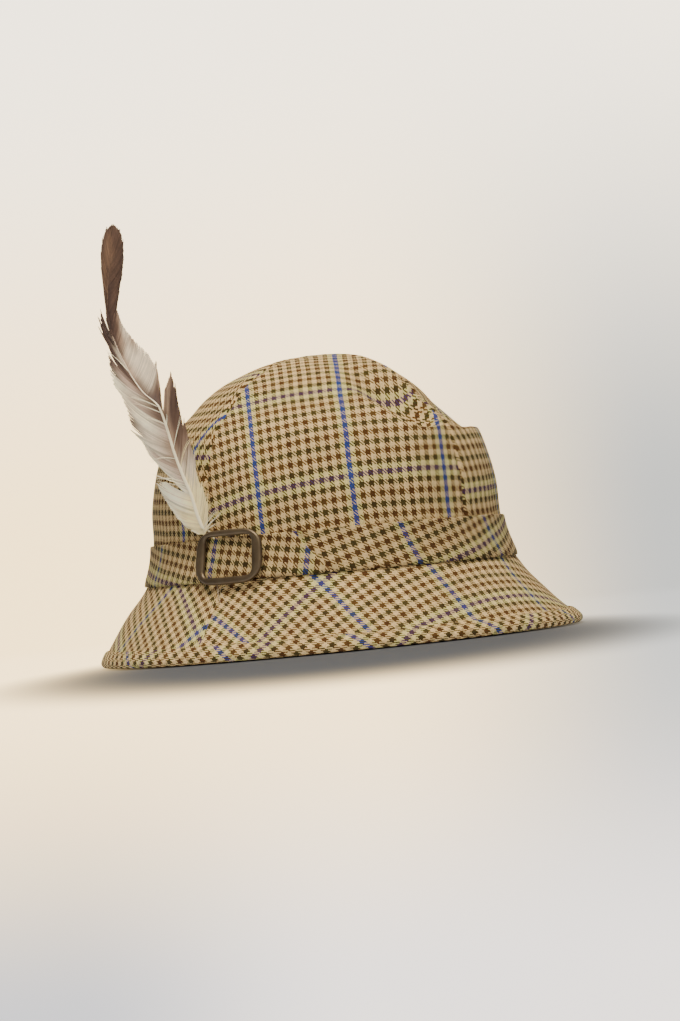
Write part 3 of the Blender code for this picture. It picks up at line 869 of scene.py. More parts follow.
class Bench:
    """Blender's modelling tools, used the way they are by hand."""

    @staticmethod
    def clear_selection() -> None:
        """Leaves edit mode and deselects everything."""
        if bpy.context.mode != "OBJECT":
            bpy.ops.object.mode_set(mode="OBJECT")
        bpy.ops.object.select_all(action="DESELECT")

    @classmethod
    def start(cls, name: str, add: Callable[..., object], **sizes: object) -> Piece:
        """Adds one of Blender's plain shapes.

        Args:
            name: The piece's name.
            add: The operator that adds it.
            sizes: The operator's options.

        Returns:
            The new piece.
        """
        cls.clear_selection()
        add(**sizes)
        piece = bpy.context.active_object
        piece.name = name
        piece.data.name = name
        return piece

    @classmethod
    def grid(cls, name: str, columns: int, rows: int) -> Piece:
        """A flat unit grid, with so many faces across it and up it."""
        add = bpy.ops.mesh.primitive_grid_add
        return cls.start(name, add, x_subdivisions=columns, y_subdivisions=rows, size=1.0)

    @staticmethod
    def link(name: str, data: bpy.types.ID) -> Piece:
        """Puts a mesh, a lamp or a camera into the scene as an object.

        Args:
            name: The object's name.
            data: What it shows.

        Returns:
            The object.
        """
        made = bpy.data.objects.new(name, data)
        bpy.context.scene.collection.objects.link(made)
        return made

    @classmethod
    def take(cls, piece: Piece) -> None:
        """Selects one piece alone and makes it active.

        Args:
            piece: The piece.
        """
        cls.clear_selection()
        piece.select_set(True)
        bpy.context.view_layer.objects.active = piece

    @classmethod
    def edit(cls, piece: Piece, step: Callable[[], object]) -> None:
        """Runs an operator in edit mode on all of a piece.

        Args:
            piece: The piece.
            step: The operator.
        """
        cls.take(piece)
        bpy.ops.object.mode_set(mode="EDIT")
        bpy.ops.mesh.select_all(action="SELECT")
        step()
        bpy.ops.object.mode_set(mode="OBJECT")

    @classmethod
    def apply(cls, piece: Piece, kind: str, **settings: object) -> None:
        """Adds a modifier and applies it.

        Args:
            piece: The piece.
            kind: The modifier's type.
            settings: Its options.
        """
        cls.take(piece)
        modifier = piece.modifiers.new(kind.title(), kind)
        for name, value in settings.items():
            setattr(modifier, name, value)
        bpy.ops.object.modifier_apply(modifier=modifier.name)

    @classmethod
    def merge(cls, piece: Piece) -> None:
        """Welds the points that lie on each other."""
        cls.edit(piece, lambda: bpy.ops.mesh.remove_doubles(threshold=WELD))

    @classmethod
    def face_outward(cls, piece: Piece) -> None:
        """Turns the faces of a closed piece outward."""
        cls.edit(piece, lambda: bpy.ops.mesh.normals_make_consistent(inside=False))

    @classmethod
    def soften(cls, piece: Piece, angle: float = 50.0) -> None:
        """Shades a piece smooth, but for edges sharper than an angle in degrees."""
        cls.take(piece)
        bpy.ops.object.shade_smooth_by_angle(angle=radians(angle))

    @staticmethod
    def place(piece: Piece, spot: Callable[[Vector], Vector]) -> None:
        """Moves each point of a piece to the real place that spot gives for it."""
        for vertex in piece.data.vertices:
            vertex.co = spot(vertex.co.copy())

    @staticmethod
    def map_cloth(piece: Piece, coordinates: Sequence[tuple[float, float]]) -> None:
        """Writes one coordinate per face corner into the piece's only map.

        Args:
            piece: The piece.
            coordinates: One pair to each corner.
        """
        layers = piece.data.uv_layers
        layer = layers[0] if len(layers) else layers.new()
        layer.name = CLOTH_MAP
        layer.data.foreach_set("uv", [value for pair in coordinates for value in pair])


def finish_piece(piece: Piece, material: bpy.types.Material, slot: str, *nodes: str) -> None:
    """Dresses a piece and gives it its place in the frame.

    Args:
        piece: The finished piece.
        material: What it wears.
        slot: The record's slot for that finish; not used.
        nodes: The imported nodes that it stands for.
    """
    piece.data.materials.clear()
    piece.data.materials.append(material)
    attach(piece, "root")
    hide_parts(*nodes)
    LOG.info("%s: %d faces", piece.name, len(piece.data.polygons))


def crowded(share: float, crowding: float) -> float:
    """A share moved so that steps are short near 0 and 1, for a crowding near 1."""
    return share - crowding * sin(2.0 * pi * share) / (2.0 * pi)


class Panel:
    """A piece of cloth that is cut from a flat grid, placed on its form and given its thickness."""

    def cut(self, name: str, columns: int, rows: int, thickness: float) -> Piece:
        """Shapes the panel from a grid.

        Args:
            name: The piece's name.
            columns: Faces round it.
            rows: Faces up it.
            thickness: The cloth's.

        Returns:
            The finished mesh object.
        """
        piece = Bench.grid(name, columns, rows)
        mesh = piece.data
        cloth = [self.cloth(*self.station(vertex.co)) for vertex in mesh.vertices]
        Bench.map_cloth(piece, [cloth[loop.vertex_index] for loop in mesh.loops])
        Bench.place(piece, self.spot)
        Bench.merge(piece)
        Bench.apply(piece, "SOLIDIFY", thickness=thickness, offset=-1.0, use_even_offset=True)
        Bench.soften(piece, CLOTH_CREASE)
        return piece


@dataclass(frozen=True)
class Gore(Panel):
    """A quarter of the crown, turned in along its seams and its hem."""

    name: str
    first_bearing: float
    lay: ClothLay
    form: CrownForm
    columns: int = 112
    wall_rows: int = 44
    top_rows: int = 62
    crowding: float = 0.75
    thickness: float = 0.0018
    seam_gap: float = 0.0001
    seam_dip: float = 0.0011
    seam_width: float = 0.0017
    welt_height: float = 0.00035
    welt_place: float = 0.0042
    welt_width: float = 0.0018
    pucker: float = 0.00016
    pucker_length: float = 0.0048
    pucker_wander: float = 3.0
    wander_scale: float = 40.0

    @property
    def middle(self) -> float:
        """The bearing of the gore's middle."""
        return self.first_bearing + 0.5 * QUARTER

    def station(self, flat: Vector) -> tuple[float, float]:
        """Where a grid point lies on the crown.

        Args:
            flat: The point of the grid, from the left edge seen from outside, and up.

        Returns:
            The bearing and the climb.
        """
        bearing = self.first_bearing + QUARTER * (1.0 - crowded(flat.x + 0.5, self.crowding))
        fold = self.form.dent(half_turn(bearing)).fold
        row = (flat.y + 0.5) * (self.wall_rows + self.top_rows)
        if row <= self.wall_rows:
            return bearing, fold * row / self.wall_rows
        return bearing, min(1.0, fold + (1.0 - fold) * (row - self.wall_rows) / self.top_rows)

    def relief(self, bearing: float, climb: float, point: Vector) -> float:
        """How far the cloth stands off the crown's form, for its seams, puckers and ripples.

        Args:
            bearing: The bearing.
            climb: The climb.
            point: The place on the form.

        Returns:
            The stand-off, in metres.
        """
        reach = self.form.plan_radius(bearing) * self.form.dome(climb)[0]
        off_seam = reach * radians(0.5 * QUARTER - abs(bearing - self.middle))
        dip = self.seam_dip * max(0.0, 1.0 - off_seam / self.seam_width) ** 2
        welt = self.welt_height * exp(-(((off_seam - self.welt_place) / self.welt_width) ** 2))
        up = self.form.climb_arc(bearing, climb)
        phase = tau * up / self.pucker_length
        phase += self.pucker_wander * noise.noise(point * self.wander_scale)
        pucker = self.pucker * exp(-off_seam / self.welt_place) * sin(phase)
        return welt + pucker - dip + self.form.ripples(point)

    def spot(self, flat: Vector) -> Vector:
        """The real place of a grid point.

        Args:
            flat: The point of the grid.

        Returns:
            The place on the gore's outer face.
        """
        bearing, climb = self.station(flat)
        point = self.form.surface(bearing, climb)
        point = self.form.surface(bearing, climb, self.relief(bearing, climb, point))
        middle = radians(self.middle)
        shift = 0.5 * self.seam_gap
        sides = copysign(shift, sin(middle)), copysign(shift, cos(middle))
        return point - Vector((*sides, 0.0))

    def cloth(self, bearing: float, climb: float) -> tuple[float, float]:
        """Pattern coordinates, as if the gore's cloth were laid flat.

        Args:
            bearing: The bearing.
            climb: The climb.

        Returns:
            Cells from the blue and from the purple line.
        """
        radius = self.form.mean_radius
        latitude = acos(max(-1.0, min(1.0, self.form.dome(climb)[0] / DOME[1].reach)))
        turn = (self.form.plan_arc(bearing) - self.form.plan_arc(self.middle)) / radius
        across = -radius * asin(cos(latitude) * sin(turn))
        return self.lay.cell(across, self.form.climb_arc(bearing, climb))

    def build(self) -> Piece:
        """Shapes the gore."""
        return self.cut(self.name, self.columns, self.wall_rows + self.top_rows, self.thickness)


class BrimRow(NamedTuple):
    """One step down the brim, as shares of its way out and of its drop."""

    out: float
    drop: float


BRIM = rows(
    BrimRow,
    (0.00, 0.00),
    (0.17, 0.23),
    (0.44, 0.50),
    (0.72, 0.77),
    (1.00, 1.00),
)


@dataclass(frozen=True)
class BrimForm:
    """The middle of the brim's cloth, by bearing and by the share of the way out."""

    crown: CrownForm
    edge_half_length: float = 0.1338
    edge_half_width: float = 0.1158
    thickness: float = 0.0025
    tuck: float = 0.0009
    outset: float = 0.0012
    edge_height: float = 0.0030
    hem_inset: float = 0.0010
    wave: float = 0.0005
    waves: float = 5.0
    wave_turn: float = 40.0
    second_wave: float = 0.6
    second_waves: float = 3.0
    sway: float = 0.0042
    sway_bearing: float = 135.0
    sway_early: float = 1.3
    sway_focus: int = 3
    edge_shift: float = 0.0012
    cone_radius: float = 0.153
    cone_stretch: float = 1.02
    slope_step: float = 0.02
    slant_steps: int = 4

    def middle(self, bearing: float, share: float) -> Vector:
        """A point half-way through the cloth.

        Args:
            bearing: Degrees from the front.
            share: 0 at the crown's hem and 1 at the edge.

        Returns:
            The point.
        """
        hem = self.crown.surface(bearing, 0.0, -self.hem_inset)
        angle, toward = radians(bearing), radians(self.sway_bearing)
        edge = Vector((-self.edge_half_width * sin(angle), -self.edge_half_length * cos(angle), 0.0))
        edge -= self.edge_shift * Vector((sin(toward), cos(toward), 0.0))
        places = [k / (len(BRIM) - 1) for k in range(len(BRIM))]
        out = curve_through(places, [row.out for row in BRIM], share)
        drop = curve_through(places, [row.drop for row in BRIM], share)
        top = hem.z - self.tuck
        hem += edge.normalized() * self.outset
        bow = self.wave * smooth(share) * (1.0 - smooth(share)) * 4.0
        lift = bow * sin(radians(self.waves * bearing + self.wave_turn))
        lift += self.second_wave * bow * sin(radians(self.second_waves * bearing))
        facing = max(0.0, cos(angle - toward)) ** self.sway_focus
        lift += self.sway * facing * sin(pi * share**self.sway_early)
        z = top + (self.edge_height - top) * drop + lift
        return Vector((hem.x + (edge.x - hem.x) * out, hem.y + (edge.y - hem.y) * out, z))

    def axes(self, bearing: float, share: float) -> tuple[Vector, Vector]:
        """The brim's direction outward and its upward normal at a point.

        Args:
            bearing: Degrees from the front.
            share: The share of the way out.

        Returns:
            The two unit vectors.
        """
        inner = self.middle(bearing, max(0.0, share - self.slope_step))
        outward = (self.middle(bearing, min(1.0, share + self.slope_step)) - inner).normalized()
        angle = radians(bearing)
        around = Vector((-self.edge_half_width * cos(angle), self.edge_half_length * sin(angle), 0.0))
        upward = around.cross(outward).normalized()
        return outward, upward if upward.z > 0.0 else -upward

    def flat(self, bearing: float, share: float, middle: float) -> tuple[float, float]:
        """Where a point lies when the brim is laid flat as part of a cone.

        Args:
            bearing: Degrees from the front.
            share: The share of the way out.
            middle: The bearing that the flat piece is centred on.

        Returns:
            Distances to the right and up, in metres.
        """
        near = self.middle(bearing, 0.0)
        slant = 0.0
        for k in range(1, self.slant_steps + 1):
            far = self.middle(bearing, share * k / self.slant_steps)
            slant += (far - near).length
            near = far
        arc = self.crown.plan_arc(bearing) - self.crown.plan_arc(middle)
        turn = self.cone_stretch * arc / self.cone_radius
        radius = self.cone_radius + slant
        return -radius * sin(turn), self.cone_radius - radius * cos(turn)


@dataclass(frozen=True)
class BrimHalf(Panel):
    """Half of the brim, between its two side seams."""

    name: str
    first_bearing: float
    sweep: float
    lay: ClothLay
    form: BrimForm
    columns: int = 170
    rows: int = 36
    crowding: float = 0.8
    seam_gap: float = 0.0001
    seam_dip: float = 0.0007
    seam_width: float = 0.0014
    ripples: float = 0.6

    @property
    def middle(self) -> float:
        """The bearing of the half's middle."""
        return self.first_bearing + 0.5 * self.sweep

    def station(self, flat: Vector) -> tuple[float, float]:
        """The bearing of a grid point and its share of the way out."""
        along = crowded(flat.x + 0.5, self.crowding)
        return self.first_bearing + self.sweep * (1.0 - along), 0.5 - flat.y

    def cloth(self, bearing: float, share: float) -> tuple[float, float]:
        """Pattern coordinates, as if the half were laid flat."""
        return self.lay.cell(*self.form.flat(bearing, share, self.middle))

    def spot(self, flat: Vector) -> Vector:
        """The real place of a grid point.

        Args:
            flat: The point of the grid.

        Returns:
            The place on the half's upper face.
        """
        bearing, share = self.station(flat)
        point = self.form.middle(bearing, share)
        upward = self.form.axes(bearing, share)[1]
        off_seam = point.xy.length * radians(0.5 * self.sweep - abs(bearing - self.middle))
        dip = self.seam_dip * max(0.0, 1.0 - off_seam / self.seam_width) ** 2
        shift = copysign(0.5 * self.seam_gap, -cos(radians(self.middle)))
        ripple = self.ripples * self.form.crown.ripples(point)
        return point + upward * (0.5 * self.form.thickness - dip + ripple) + Vector((0.0, shift, 0.0))

    def build(self) -> Piece:
        """Shapes the half."""
        return self.cut(self.name, self.columns, self.rows, self.form.thickness)


@dataclass(frozen=True)
class Strip:
    """A closed strip of cloth, welded from a grid, with a map that runs along it and across it."""

    name: str
    sections: int
    around: int

    def shape(self, spot: Callable[..., Vector], cloth: Callable[..., tuple[float, float]]) -> Piece:
        """Places the grid's points, writes its map and welds its ends and edges.

        Args:
            spot: The place of a section's point.
            cloth: The pattern coordinates of a section's point, from its face's first section too.

        Returns:
            The finished mesh object.
        """
        piece = Bench.grid(self.name, self.around, self.sections)
        mesh = piece.data
        width = self.around + 1
        pairs = []
        for face in mesh.polygons:
            corners = [divmod(index, width) for index in face.vertices]
            first = min(section for section, _ in corners)
            pairs += [cloth(section, k, first) for section, k in corners]
        Bench.map_cloth(piece, pairs)
        for index, vertex in enumerate(mesh.vertices):
            section, k = divmod(index, width)
            vertex.co = spot(section % self.sections, k % self.around)
        Bench.merge(piece)
        Bench.face_outward(piece)
        Bench.soften(piece)
        return piece


class TapeRow(NamedTuple):
    """One point round the binding: along the brim from its edge, and up from the cloth's middle."""

    along: float
    up: float


@dataclass(frozen=True)
class Binding:
    """The bias tape folded over the brim's edge and stitched down."""

    form: BrimForm
    lay: ClothLay
    sections: int = 300
    clearance: float = 0.0003
    thickness: float = 0.0009
    reach: float = 0.0060
    edge_lap: float = 0.0001
    edge_round: float = 0.0011
    swell: float = 0.00012
    swell_reach: tuple[float, float] = (0.66, 0.33)
    roundness: int = 6
    pull: float = 0.00012
    stitch_length: float = 0.0032
    ripples: float = 0.3

    def tape(self) -> list[TapeRow]:
        """The cross-section.

        Returns:
            Its points, from the upper inner corner round the edge and back inside.
        """
        inner = 0.5 * self.form.thickness + self.clearance
        outer = inner + self.thickness
        halfway = 0.5 * (inner + outer)
        bend = [radians(90.0 - 180.0 * k / self.roundness) for k in range(self.roundness + 1)]
        return [
            TapeRow(-self.reach, inner),
            TapeRow(-self.reach - self.edge_lap, halfway),
            TapeRow(-self.reach + 4.0 * self.edge_lap, outer - self.edge_lap),
            TapeRow(-self.reach + self.edge_round, outer),
            *(TapeRow(-share * self.reach, outer + self.swell) for share in self.swell_reach),
            *(TapeRow(outer * cos(angle), outer * sin(angle)) for angle in bend),
            TapeRow(-0.5 * self.reach, -outer),
            TapeRow(-self.reach + 6.0 * self.edge_lap, -outer),
            TapeRow(-self.reach, -halfway),
            TapeRow(-self.reach, -inner),
            TapeRow(-0.5 * self.reach, -inner),
            TapeRow(self.clearance, -inner),
            TapeRow(self.clearance, inner),
            TapeRow(-0.5 * self.reach, inner),
        ]

    def bearing(self, section: int) -> float:
        """The bearing of a section, from the tape's join at the back."""
        return 360.0 * section / self.sections - 180.0

    def build(self) -> Piece:
        """Shapes the tape from a strip.

        Returns:
            The finished mesh object.
        """
        rows = self.tape()
        outer_face = 0.5 * self.form.thickness + self.clearance + self.thickness
        run = [0.0]
        for before, after in zip(rows, rows[1:] + rows[:1]):
            run.append(run[-1] + dist(before, after))
        length = pi * (self.form.edge_half_length + self.form.edge_half_width)

        def spot(section: int, k: int) -> Vector:
            """The place of a point of the tape.

            Args:
                section: The cross-section.
                k: The point in it.

            Returns:
                The place.
            """
            bearing = self.bearing(section)
            edge = self.form.middle(bearing, 1.0)
            outward, upward = self.form.axes(bearing, 1.0)
            row = rows[k]
            stitch = sin(tau * length * section / self.sections / self.stitch_length)
            uneven = self.ripples * self.form.crown.ripples(edge)
            if row.up >= outer_face and row.along < 0.0:
                uneven += self.pull * stitch
            point = edge + outward * row.along + upward * (row.up + copysign(uneven, row.up))
            point.z = max(point.z, 0.0)
            return point

        def cloth(section: int, k: int, _: int) -> tuple[float, float]:
            """The pattern at a point of the tape."""
            return self.lay.cell(-length * self.bearing(section) / 360.0, -run[k])

        return Strip("brim_binding_tape", self.sections, len(rows)).shape(spot, cloth)


class BandRow(NamedTuple):
    """One point round the band: up it, through its thickness, and its share of the puff."""

    up: float
    through: float
    puff: float


BAND = rows(
    BandRow,
    (0.090, 0.00, 0.0),
    (0.350, 0.00, 0.0),
    (0.700, 0.00, 0.0),
    (0.975, 0.00, 0.0),
    (1.000, 0.25, 0.0),
    (1.005, 0.65, 0.0),
    (0.990, 0.95, 0.0),
    (0.960, 1.06, 0.0),
    (0.915, 1.08, 0.0),
    (0.840, 1.02, 0.0),
    (0.740, 1.00, 0.0),
    (0.620, 1.00, 0.0),
    (0.500, 1.00, 0.15),
    (0.390, 1.00, 0.40),
    (0.270, 1.00, 0.75),
    (0.160, 1.05, 1.05),
    (0.060, 1.05, 1.20),
    (-0.015, 0.95, 1.15),
    (-0.035, 0.72, 0.85),
    (-0.005, 0.40, 0.40),
    (0.045, 0.12, 0.10),
)


@dataclass(frozen=True)
class Band:
    """The cloth band: two lengths joined on a slant, gathered where it runs through the slide."""

    form: CrownForm
    right: ClothLay
    left: ClothLay
    top_climb: float = 0.10
    height: float = 0.0210
    clearance: float = 0.0005
    thickness: float = 0.0013
    puff: float = 0.0007
    strap_lift: float = 0.0015
    strap_half: float = 0.0135
    strap_ramp: float = 0.0055
    gather_below: float = 0.0008
    gather_above: float = 0.0
    slide_bearing: float = 79.6
    join_bearing: float = 54.6
    join_slant: float = 0.50
    join_reach: float = 16.0
    join_overlap: float = 0.0007
    join_fade: float = 5.0
    join_edge: float = 0.5
    join_dip: float = 0.0006
    join_groove: float = 1.1
    back_join_bearing: float = 235.0
    fine_from: float = -40.0
    fine_to: float = 130.0
    fine_sections: int = 340
    coarse_sections: int = 150
    face_row: int = 7
    face_top: float = 0.95
    pleat: float = 0.0003
    pleat_waves: float = 2.2
    pleat_slant: float = 0.12
    tug: float = 0.0007
    tug_waves: float = 1.8
    tug_slant: float = 0.05
    tug_from: float = 9.0
    tug_fade: float = 7.0
    ripples: float = 1.2

    @property
    def sections(self) -> int:
        """Cross-sections round the band."""
        return self.fine_sections + self.coarse_sections

    def level_bearing(self, section: int) -> float:
        """The bearing of a section at mid height.

        Args:
            section: The cross-section.

        Returns:
            Degrees from the front, from fine_from to a whole turn past it.
        """
        fine = self.fine_to - self.fine_from
        if section <= self.fine_sections:
            return self.fine_from + fine * section / self.fine_sections
        return self.fine_to + (360.0 - fine) * (section - self.fine_sections) / self.coarse_sections

    @property
    def join_section(self) -> int:
        """The section that the front join lies on."""
        fine = self.fine_to - self.fine_from
        return round((self.join_bearing - self.fine_from) / fine * self.fine_sections)

    @property
    def back_join_section(self) -> int:
        """The section that the back join lies on.

        Returns:
            Its number.
        """
        left = 360.0 - self.fine_to + self.fine_from
        share = (self.back_join_bearing - self.fine_to) / left
        return self.fine_sections + round(share * self.coarse_sections)

    def station(self, section: int, row: BandRow) -> tuple[float, float]:
        """The bearing of a point, slanted near the join, and its height over the hem.

        Args:
            section: The cross-section.
            row: The point in it.

        Returns:
            The bearing in degrees and the height in metres.
        """
        level = self.level_bearing(section)
        gathered = self.gathered(level)
        low = self.gather_below / self.height * gathered
        high = 1.0 - self.gather_above / self.height * gathered
        over_hem = self.height * (low + (high - low) * row.up)
        near = smooth(1.0 - abs(level - self.join_bearing) / self.join_reach)
        slant = 1000.0 * self.join_slant * (over_hem - 0.5 * self.height)
        return level + slant * near, over_hem

    def gathered(self, bearing: float) -> float:
        """1 where the band runs through the slide, and 0 away from it."""
        arc = abs(radians(bearing - self.slide_bearing)) * self.form.half_length
        return smooth((self.strap_half + self.strap_ramp - arc) / self.strap_ramp)

    def spot(self, section: int, k: int) -> Vector:
        """The place of a point of the band.

        Args:
            section: The cross-section.
            k: The point in it.

        Returns:
            The point.
        """
        row = BAND[k]
        bearing, over_hem = self.station(section, row)
        level = self.level_bearing(section)
        share = self.gathered(level)
        standoff = self.clearance + self.strap_lift * share + self.thickness * row.through
        standoff += self.puff * row.puff * (1.0 - share)
        climb = self.top_climb * over_hem / self.height
        if row.through > 0.5:
            turn = self.pleat_waves * row.up + self.pleat_slant * (bearing - self.slide_bearing)
            standoff += self.pleat * share * sin(tau * turn)
            past = max(0.0, abs(level - self.slide_bearing) - self.tug_from)
            tug = self.tug * exp(-((past / self.tug_fade) ** 2)) * (1.0 - share)
            standoff += tug * sin(tau * (self.tug_waves * row.up + self.tug_slant * past))
            standoff += self.ripples * self.form.ripples(self.form.surface(bearing, climb))
            standoff += self.join(level)
        return self.form.surface(bearing, climb, standoff)

    def join(self, level: float) -> float:
        """How far the left length lies over the right one at the join, with a groove by its fold.

        Args:
            level: The bearing at mid height.

        Returns:
            The extra stand-off, in metres.
        """
        past = level - self.join_bearing
        groove = self.join_dip * max(0.0, 1.0 - abs(past + self.join_edge) / self.join_groove) ** 2
        over = exp(-past / self.join_fade) if past > 0.0 else 0.0
        return self.join_overlap * over * smooth(past / self.join_edge) - groove

    def build(self) -> Piece:
        """Shapes the band from a strip.

        Returns:
            The finished mesh object.
        """
        run = [0.0]
        for before, after in zip(BAND, BAND[1:] + BAND[:1]):
            up, through = after.up - before.up, after.through - before.through
            run.append(run[-1] + hypot(self.height * up, self.thickness * through))
        outside = run[self.face_row] + self.face_top * self.height

        def cloth(section: int, k: int, first: int) -> tuple[float, float]:
            """The pattern at a point of the band.

            Args:
                section: The cross-section.
                k: The point in it.
                first: The first section of the face.

            Returns:
                The pattern's coordinates.
            """
            bearing = self.station(section, BAND[k % len(BAND)])[0]
            if first >= self.back_join_section:
                bearing -= 360.0
            across = -self.form.plan_arc(round(bearing, 3))
            on_left = self.join_section <= first < self.back_join_section
            return (self.left if on_left else self.right).cell(across, outside - run[k])

        return Strip("hat_band_cloth", self.sections, len(BAND)).shape(self.spot, cloth)


@dataclass(frozen=True)
class Slide:
    """The bronze slide: a soft rounded frame bowed to the crown, its bar and its two posts."""

    form: CrownForm
    band: Band
    centre: float = 0.0112
    length: float = 0.0392
    height: float = 0.0268
    side_bar: float = 0.0055
    end_bar: float = 0.0030
    standoff: float = 0.0038
    thickness: float = 0.0030
    corner: float = 0.0100
    window_corner: float = 0.0034
    corner_steps: int = 12
    straight_steps: int = 10
    around: int = 20
    squareness: float = 0.80
    arch: float = 0.0007
    bar_width: float = 0.0030
    bar_back: float = 0.0004
    bar_thickness: float = 0.0012
    bar_bevel: float = 0.0003
    post_height: float = 0.0013
    post_sink: float = 0.4
    post_clearance: float = 0.0004

    def on_crown(self, across: float, over_hem: float, standoff: float) -> Vector:
        """A point by its distance round from the slide's middle, height over the hem and stand-off."""
        bearing = self.band.slide_bearing + degrees(across / self.form.half_length)
        return self.form.surface(bearing, self.band.top_climb * over_hem / self.band.height, standoff)

    def outline(self, half_length: float, half_height: float, corner: float) -> list[tuple[float, float]]:
        """Points round a rectangle with round corners and evenly stepped sides.

        Args:
            half_length: Half its length.
            half_height: Half its height.
            corner: Its corner radius.

        Returns:
            The points, the same count for every size.
        """

        def corner_point(quarter: int, turn: float) -> tuple[float, float]:
            """A point of a corner's arc.

            Args:
                quarter: Which corner.
                turn: The place on its arc, in quarter turns.

            Returns:
                The point.
            """
            side, top = ((1, 1), (-1, 1), (-1, -1), (1, -1))[quarter % 4]
            across = side * (half_length - corner) + corner * cos(radians(90.0 * turn))
            return across, top * (half_height - corner) + corner * sin(radians(90.0 * turn))

        points = []
        for quarter in range(4):
            turns = [quarter + step / self.corner_steps for step in range(self.corner_steps + 1)]
            points += [corner_point(quarter, turn) for turn in turns]
            start, goal = points[-1], corner_point(quarter + 1, quarter + 1)
            for step in range(1, self.straight_steps):
                share = step / self.straight_steps
                points.append(tuple(a + (b - a) * share for a, b in zip(start, goal)))
        return points

    def build(self) -> Piece:
        """Shapes the frame from a ring, and joins its bar and posts to it.

        Returns:
            The finished mesh object.
        """
        half_length, half_height = 0.5 * self.length, 0.5 * self.height
        outer = self.outline(half_length, half_height, self.corner)
        window = self.outline(half_length - self.side_bar, half_height - self.end_bar, self.window_corner)
        add = bpy.ops.mesh.primitive_torus_add
        piece = Bench.start("buckle_frame", add, major_segments=len(outer), minor_segments=self.around)
        for index, vertex in enumerate(piece.data.vertices):
            section, k = divmod(index, self.around)
            angle = tau * k / self.around
            share, depth = (0.5 + 0.5 * self.squared(side) for side in (-cos(angle), sin(angle)))
            x, z = (a + (b - a) * share for a, b in zip(outer[section], window[section]))
            arch = self.arch * cos(0.5 * pi * x / half_length)
            z += copysign(arch, z) * (1.0 - share)
            vertex.co = self.on_crown(x, self.centre + z, self.standoff + self.thickness * depth)
        Bench.face_outward(piece)
        top = self.band.height - self.band.gather_above + self.post_clearance - self.centre
        bottom = self.band.gather_below - self.post_clearance - self.centre
        half_bar = 0.5 * self.bar_width
        reach = self.standoff + self.post_sink * self.thickness
        depths = (self.bar_back, self.bar_back + self.bar_thickness)
        self.block(half_bar, (bottom - self.post_height, top + self.post_height), depths)
        self.block(half_bar, (top, top + self.post_height), (depths[1], reach))
        self.block(half_bar, (bottom - self.post_height, bottom), (depths[1], reach))
        Bench.take(piece)
        for other in [o for o in bpy.context.scene.objects if o.name.startswith("slide_block")]:
            other.select_set(True)
        bpy.ops.object.join()
        Bench.soften(piece)
        return piece

    def squared(self, value: float) -> float:
        """A sine drawn toward its ends, for a section that is squarer than round."""
        return copysign(abs(value) ** self.squareness, value)

    def block(self, half_width: float, heights: tuple[float, float], depths: tuple[float, float]) -> None:
        """A small bevelled block of the bar, in the crown's own coordinates.

        Args:
            half_width: Half its width round the crown.
            heights: Its low and high end, from the slide's middle.
            depths: Its back and front, off the crown.
        """
        block = Bench.start("slide_block", bpy.ops.mesh.primitive_cube_add, size=1.0)
        low, high = heights
        back, front = depths

        def spot(corner: Vector) -> Vector:
            """The place of a corner of the block.

            Args:
                corner: The corner of the cube.

            Returns:
                The place.
            """
            up = self.centre + low + (high - low) * (corner.z + 0.5)
            depth = back + (front - back) * (corner.y + 0.5)
            return self.on_crown(2.0 * half_width * corner.x, up, depth)

        Bench.place(block, spot)
        Bench.face_outward(block)
        Bench.apply(block, "BEVEL", width=self.bar_bevel, segments=2)


class QuillRow(NamedTuple):
    """One station of the quill: its place, the bearing that the feather faces there and its radius."""

    x: float
    y: float
    z: float
    facing: float
    radius: float


QUILL = rows(
    QuillRow,
    (-0.0876, 0.0013, 0.0675, -82.0, 0.00110),
    (-0.0888, 0.0028, 0.0740, -80.0, 0.00108),
    (-0.0903, 0.0045, 0.0850, -78.0, 0.00100),
    (-0.0922, 0.0065, 0.0935, -75.0, 0.00092),
    (-0.0935, 0.0100, 0.1060, -73.0, 0.00080),
    (-0.0941, 0.0120, 0.1150, -72.0, 0.00070),
    (-0.0956, 0.0157, 0.1300, -68.0, 0.00057),
    (-0.0968, 0.0265, 0.1400, -66.0, 0.00045),
    (-0.0970, 0.0360, 0.1530, -64.0, 0.00040),
    (-0.0970, 0.0440, 0.1690, -62.0, 0.00034),
    (-0.0970, 0.0469, 0.1800, -61.0, 0.00030),
    (-0.0970, 0.0443, 0.1970, -60.0, 0.00026),
    (-0.0970, 0.0398, 0.2110, -60.0, 0.00020),
    (-0.0970, 0.0375, 0.2235, -60.0, 0.00012),
)


class TuckRow(NamedTuple):
    """One station of the quill behind the band: round from the slide, over the hem and off the crown."""

    across: float
    over_hem: float
    standoff: float


TUCK = rows(
    TuckRow,
    (0.0070, 0.0080, 0.0013),
    (0.0100, 0.0160, 0.0013),
    (0.0120, 0.0215, 0.0014),
    (0.0128, 0.0245, 0.0022),
)


class Side(Enum):
    """The two vanes of the feather, as the photograph shows them."""

    LEFT = -1
    RIGHT = 1


class Tone(Enum):
    """The tones of the feather, as screen colours."""

    IVORY = (250, 228, 166)
    CREAM = (255, 244, 208)
    SMOKE = (228, 209, 180)
    ROSE = (192, 164, 142)
    TAUPE = (158, 130, 106)
    TAN = (122, 91, 67)
    BROWN = (92, 66, 50)
    UMBER = (70, 48, 38)


IVORY, CREAM, SMOKE, ROSE, TAUPE, TAN, BROWN, UMBER = Tone


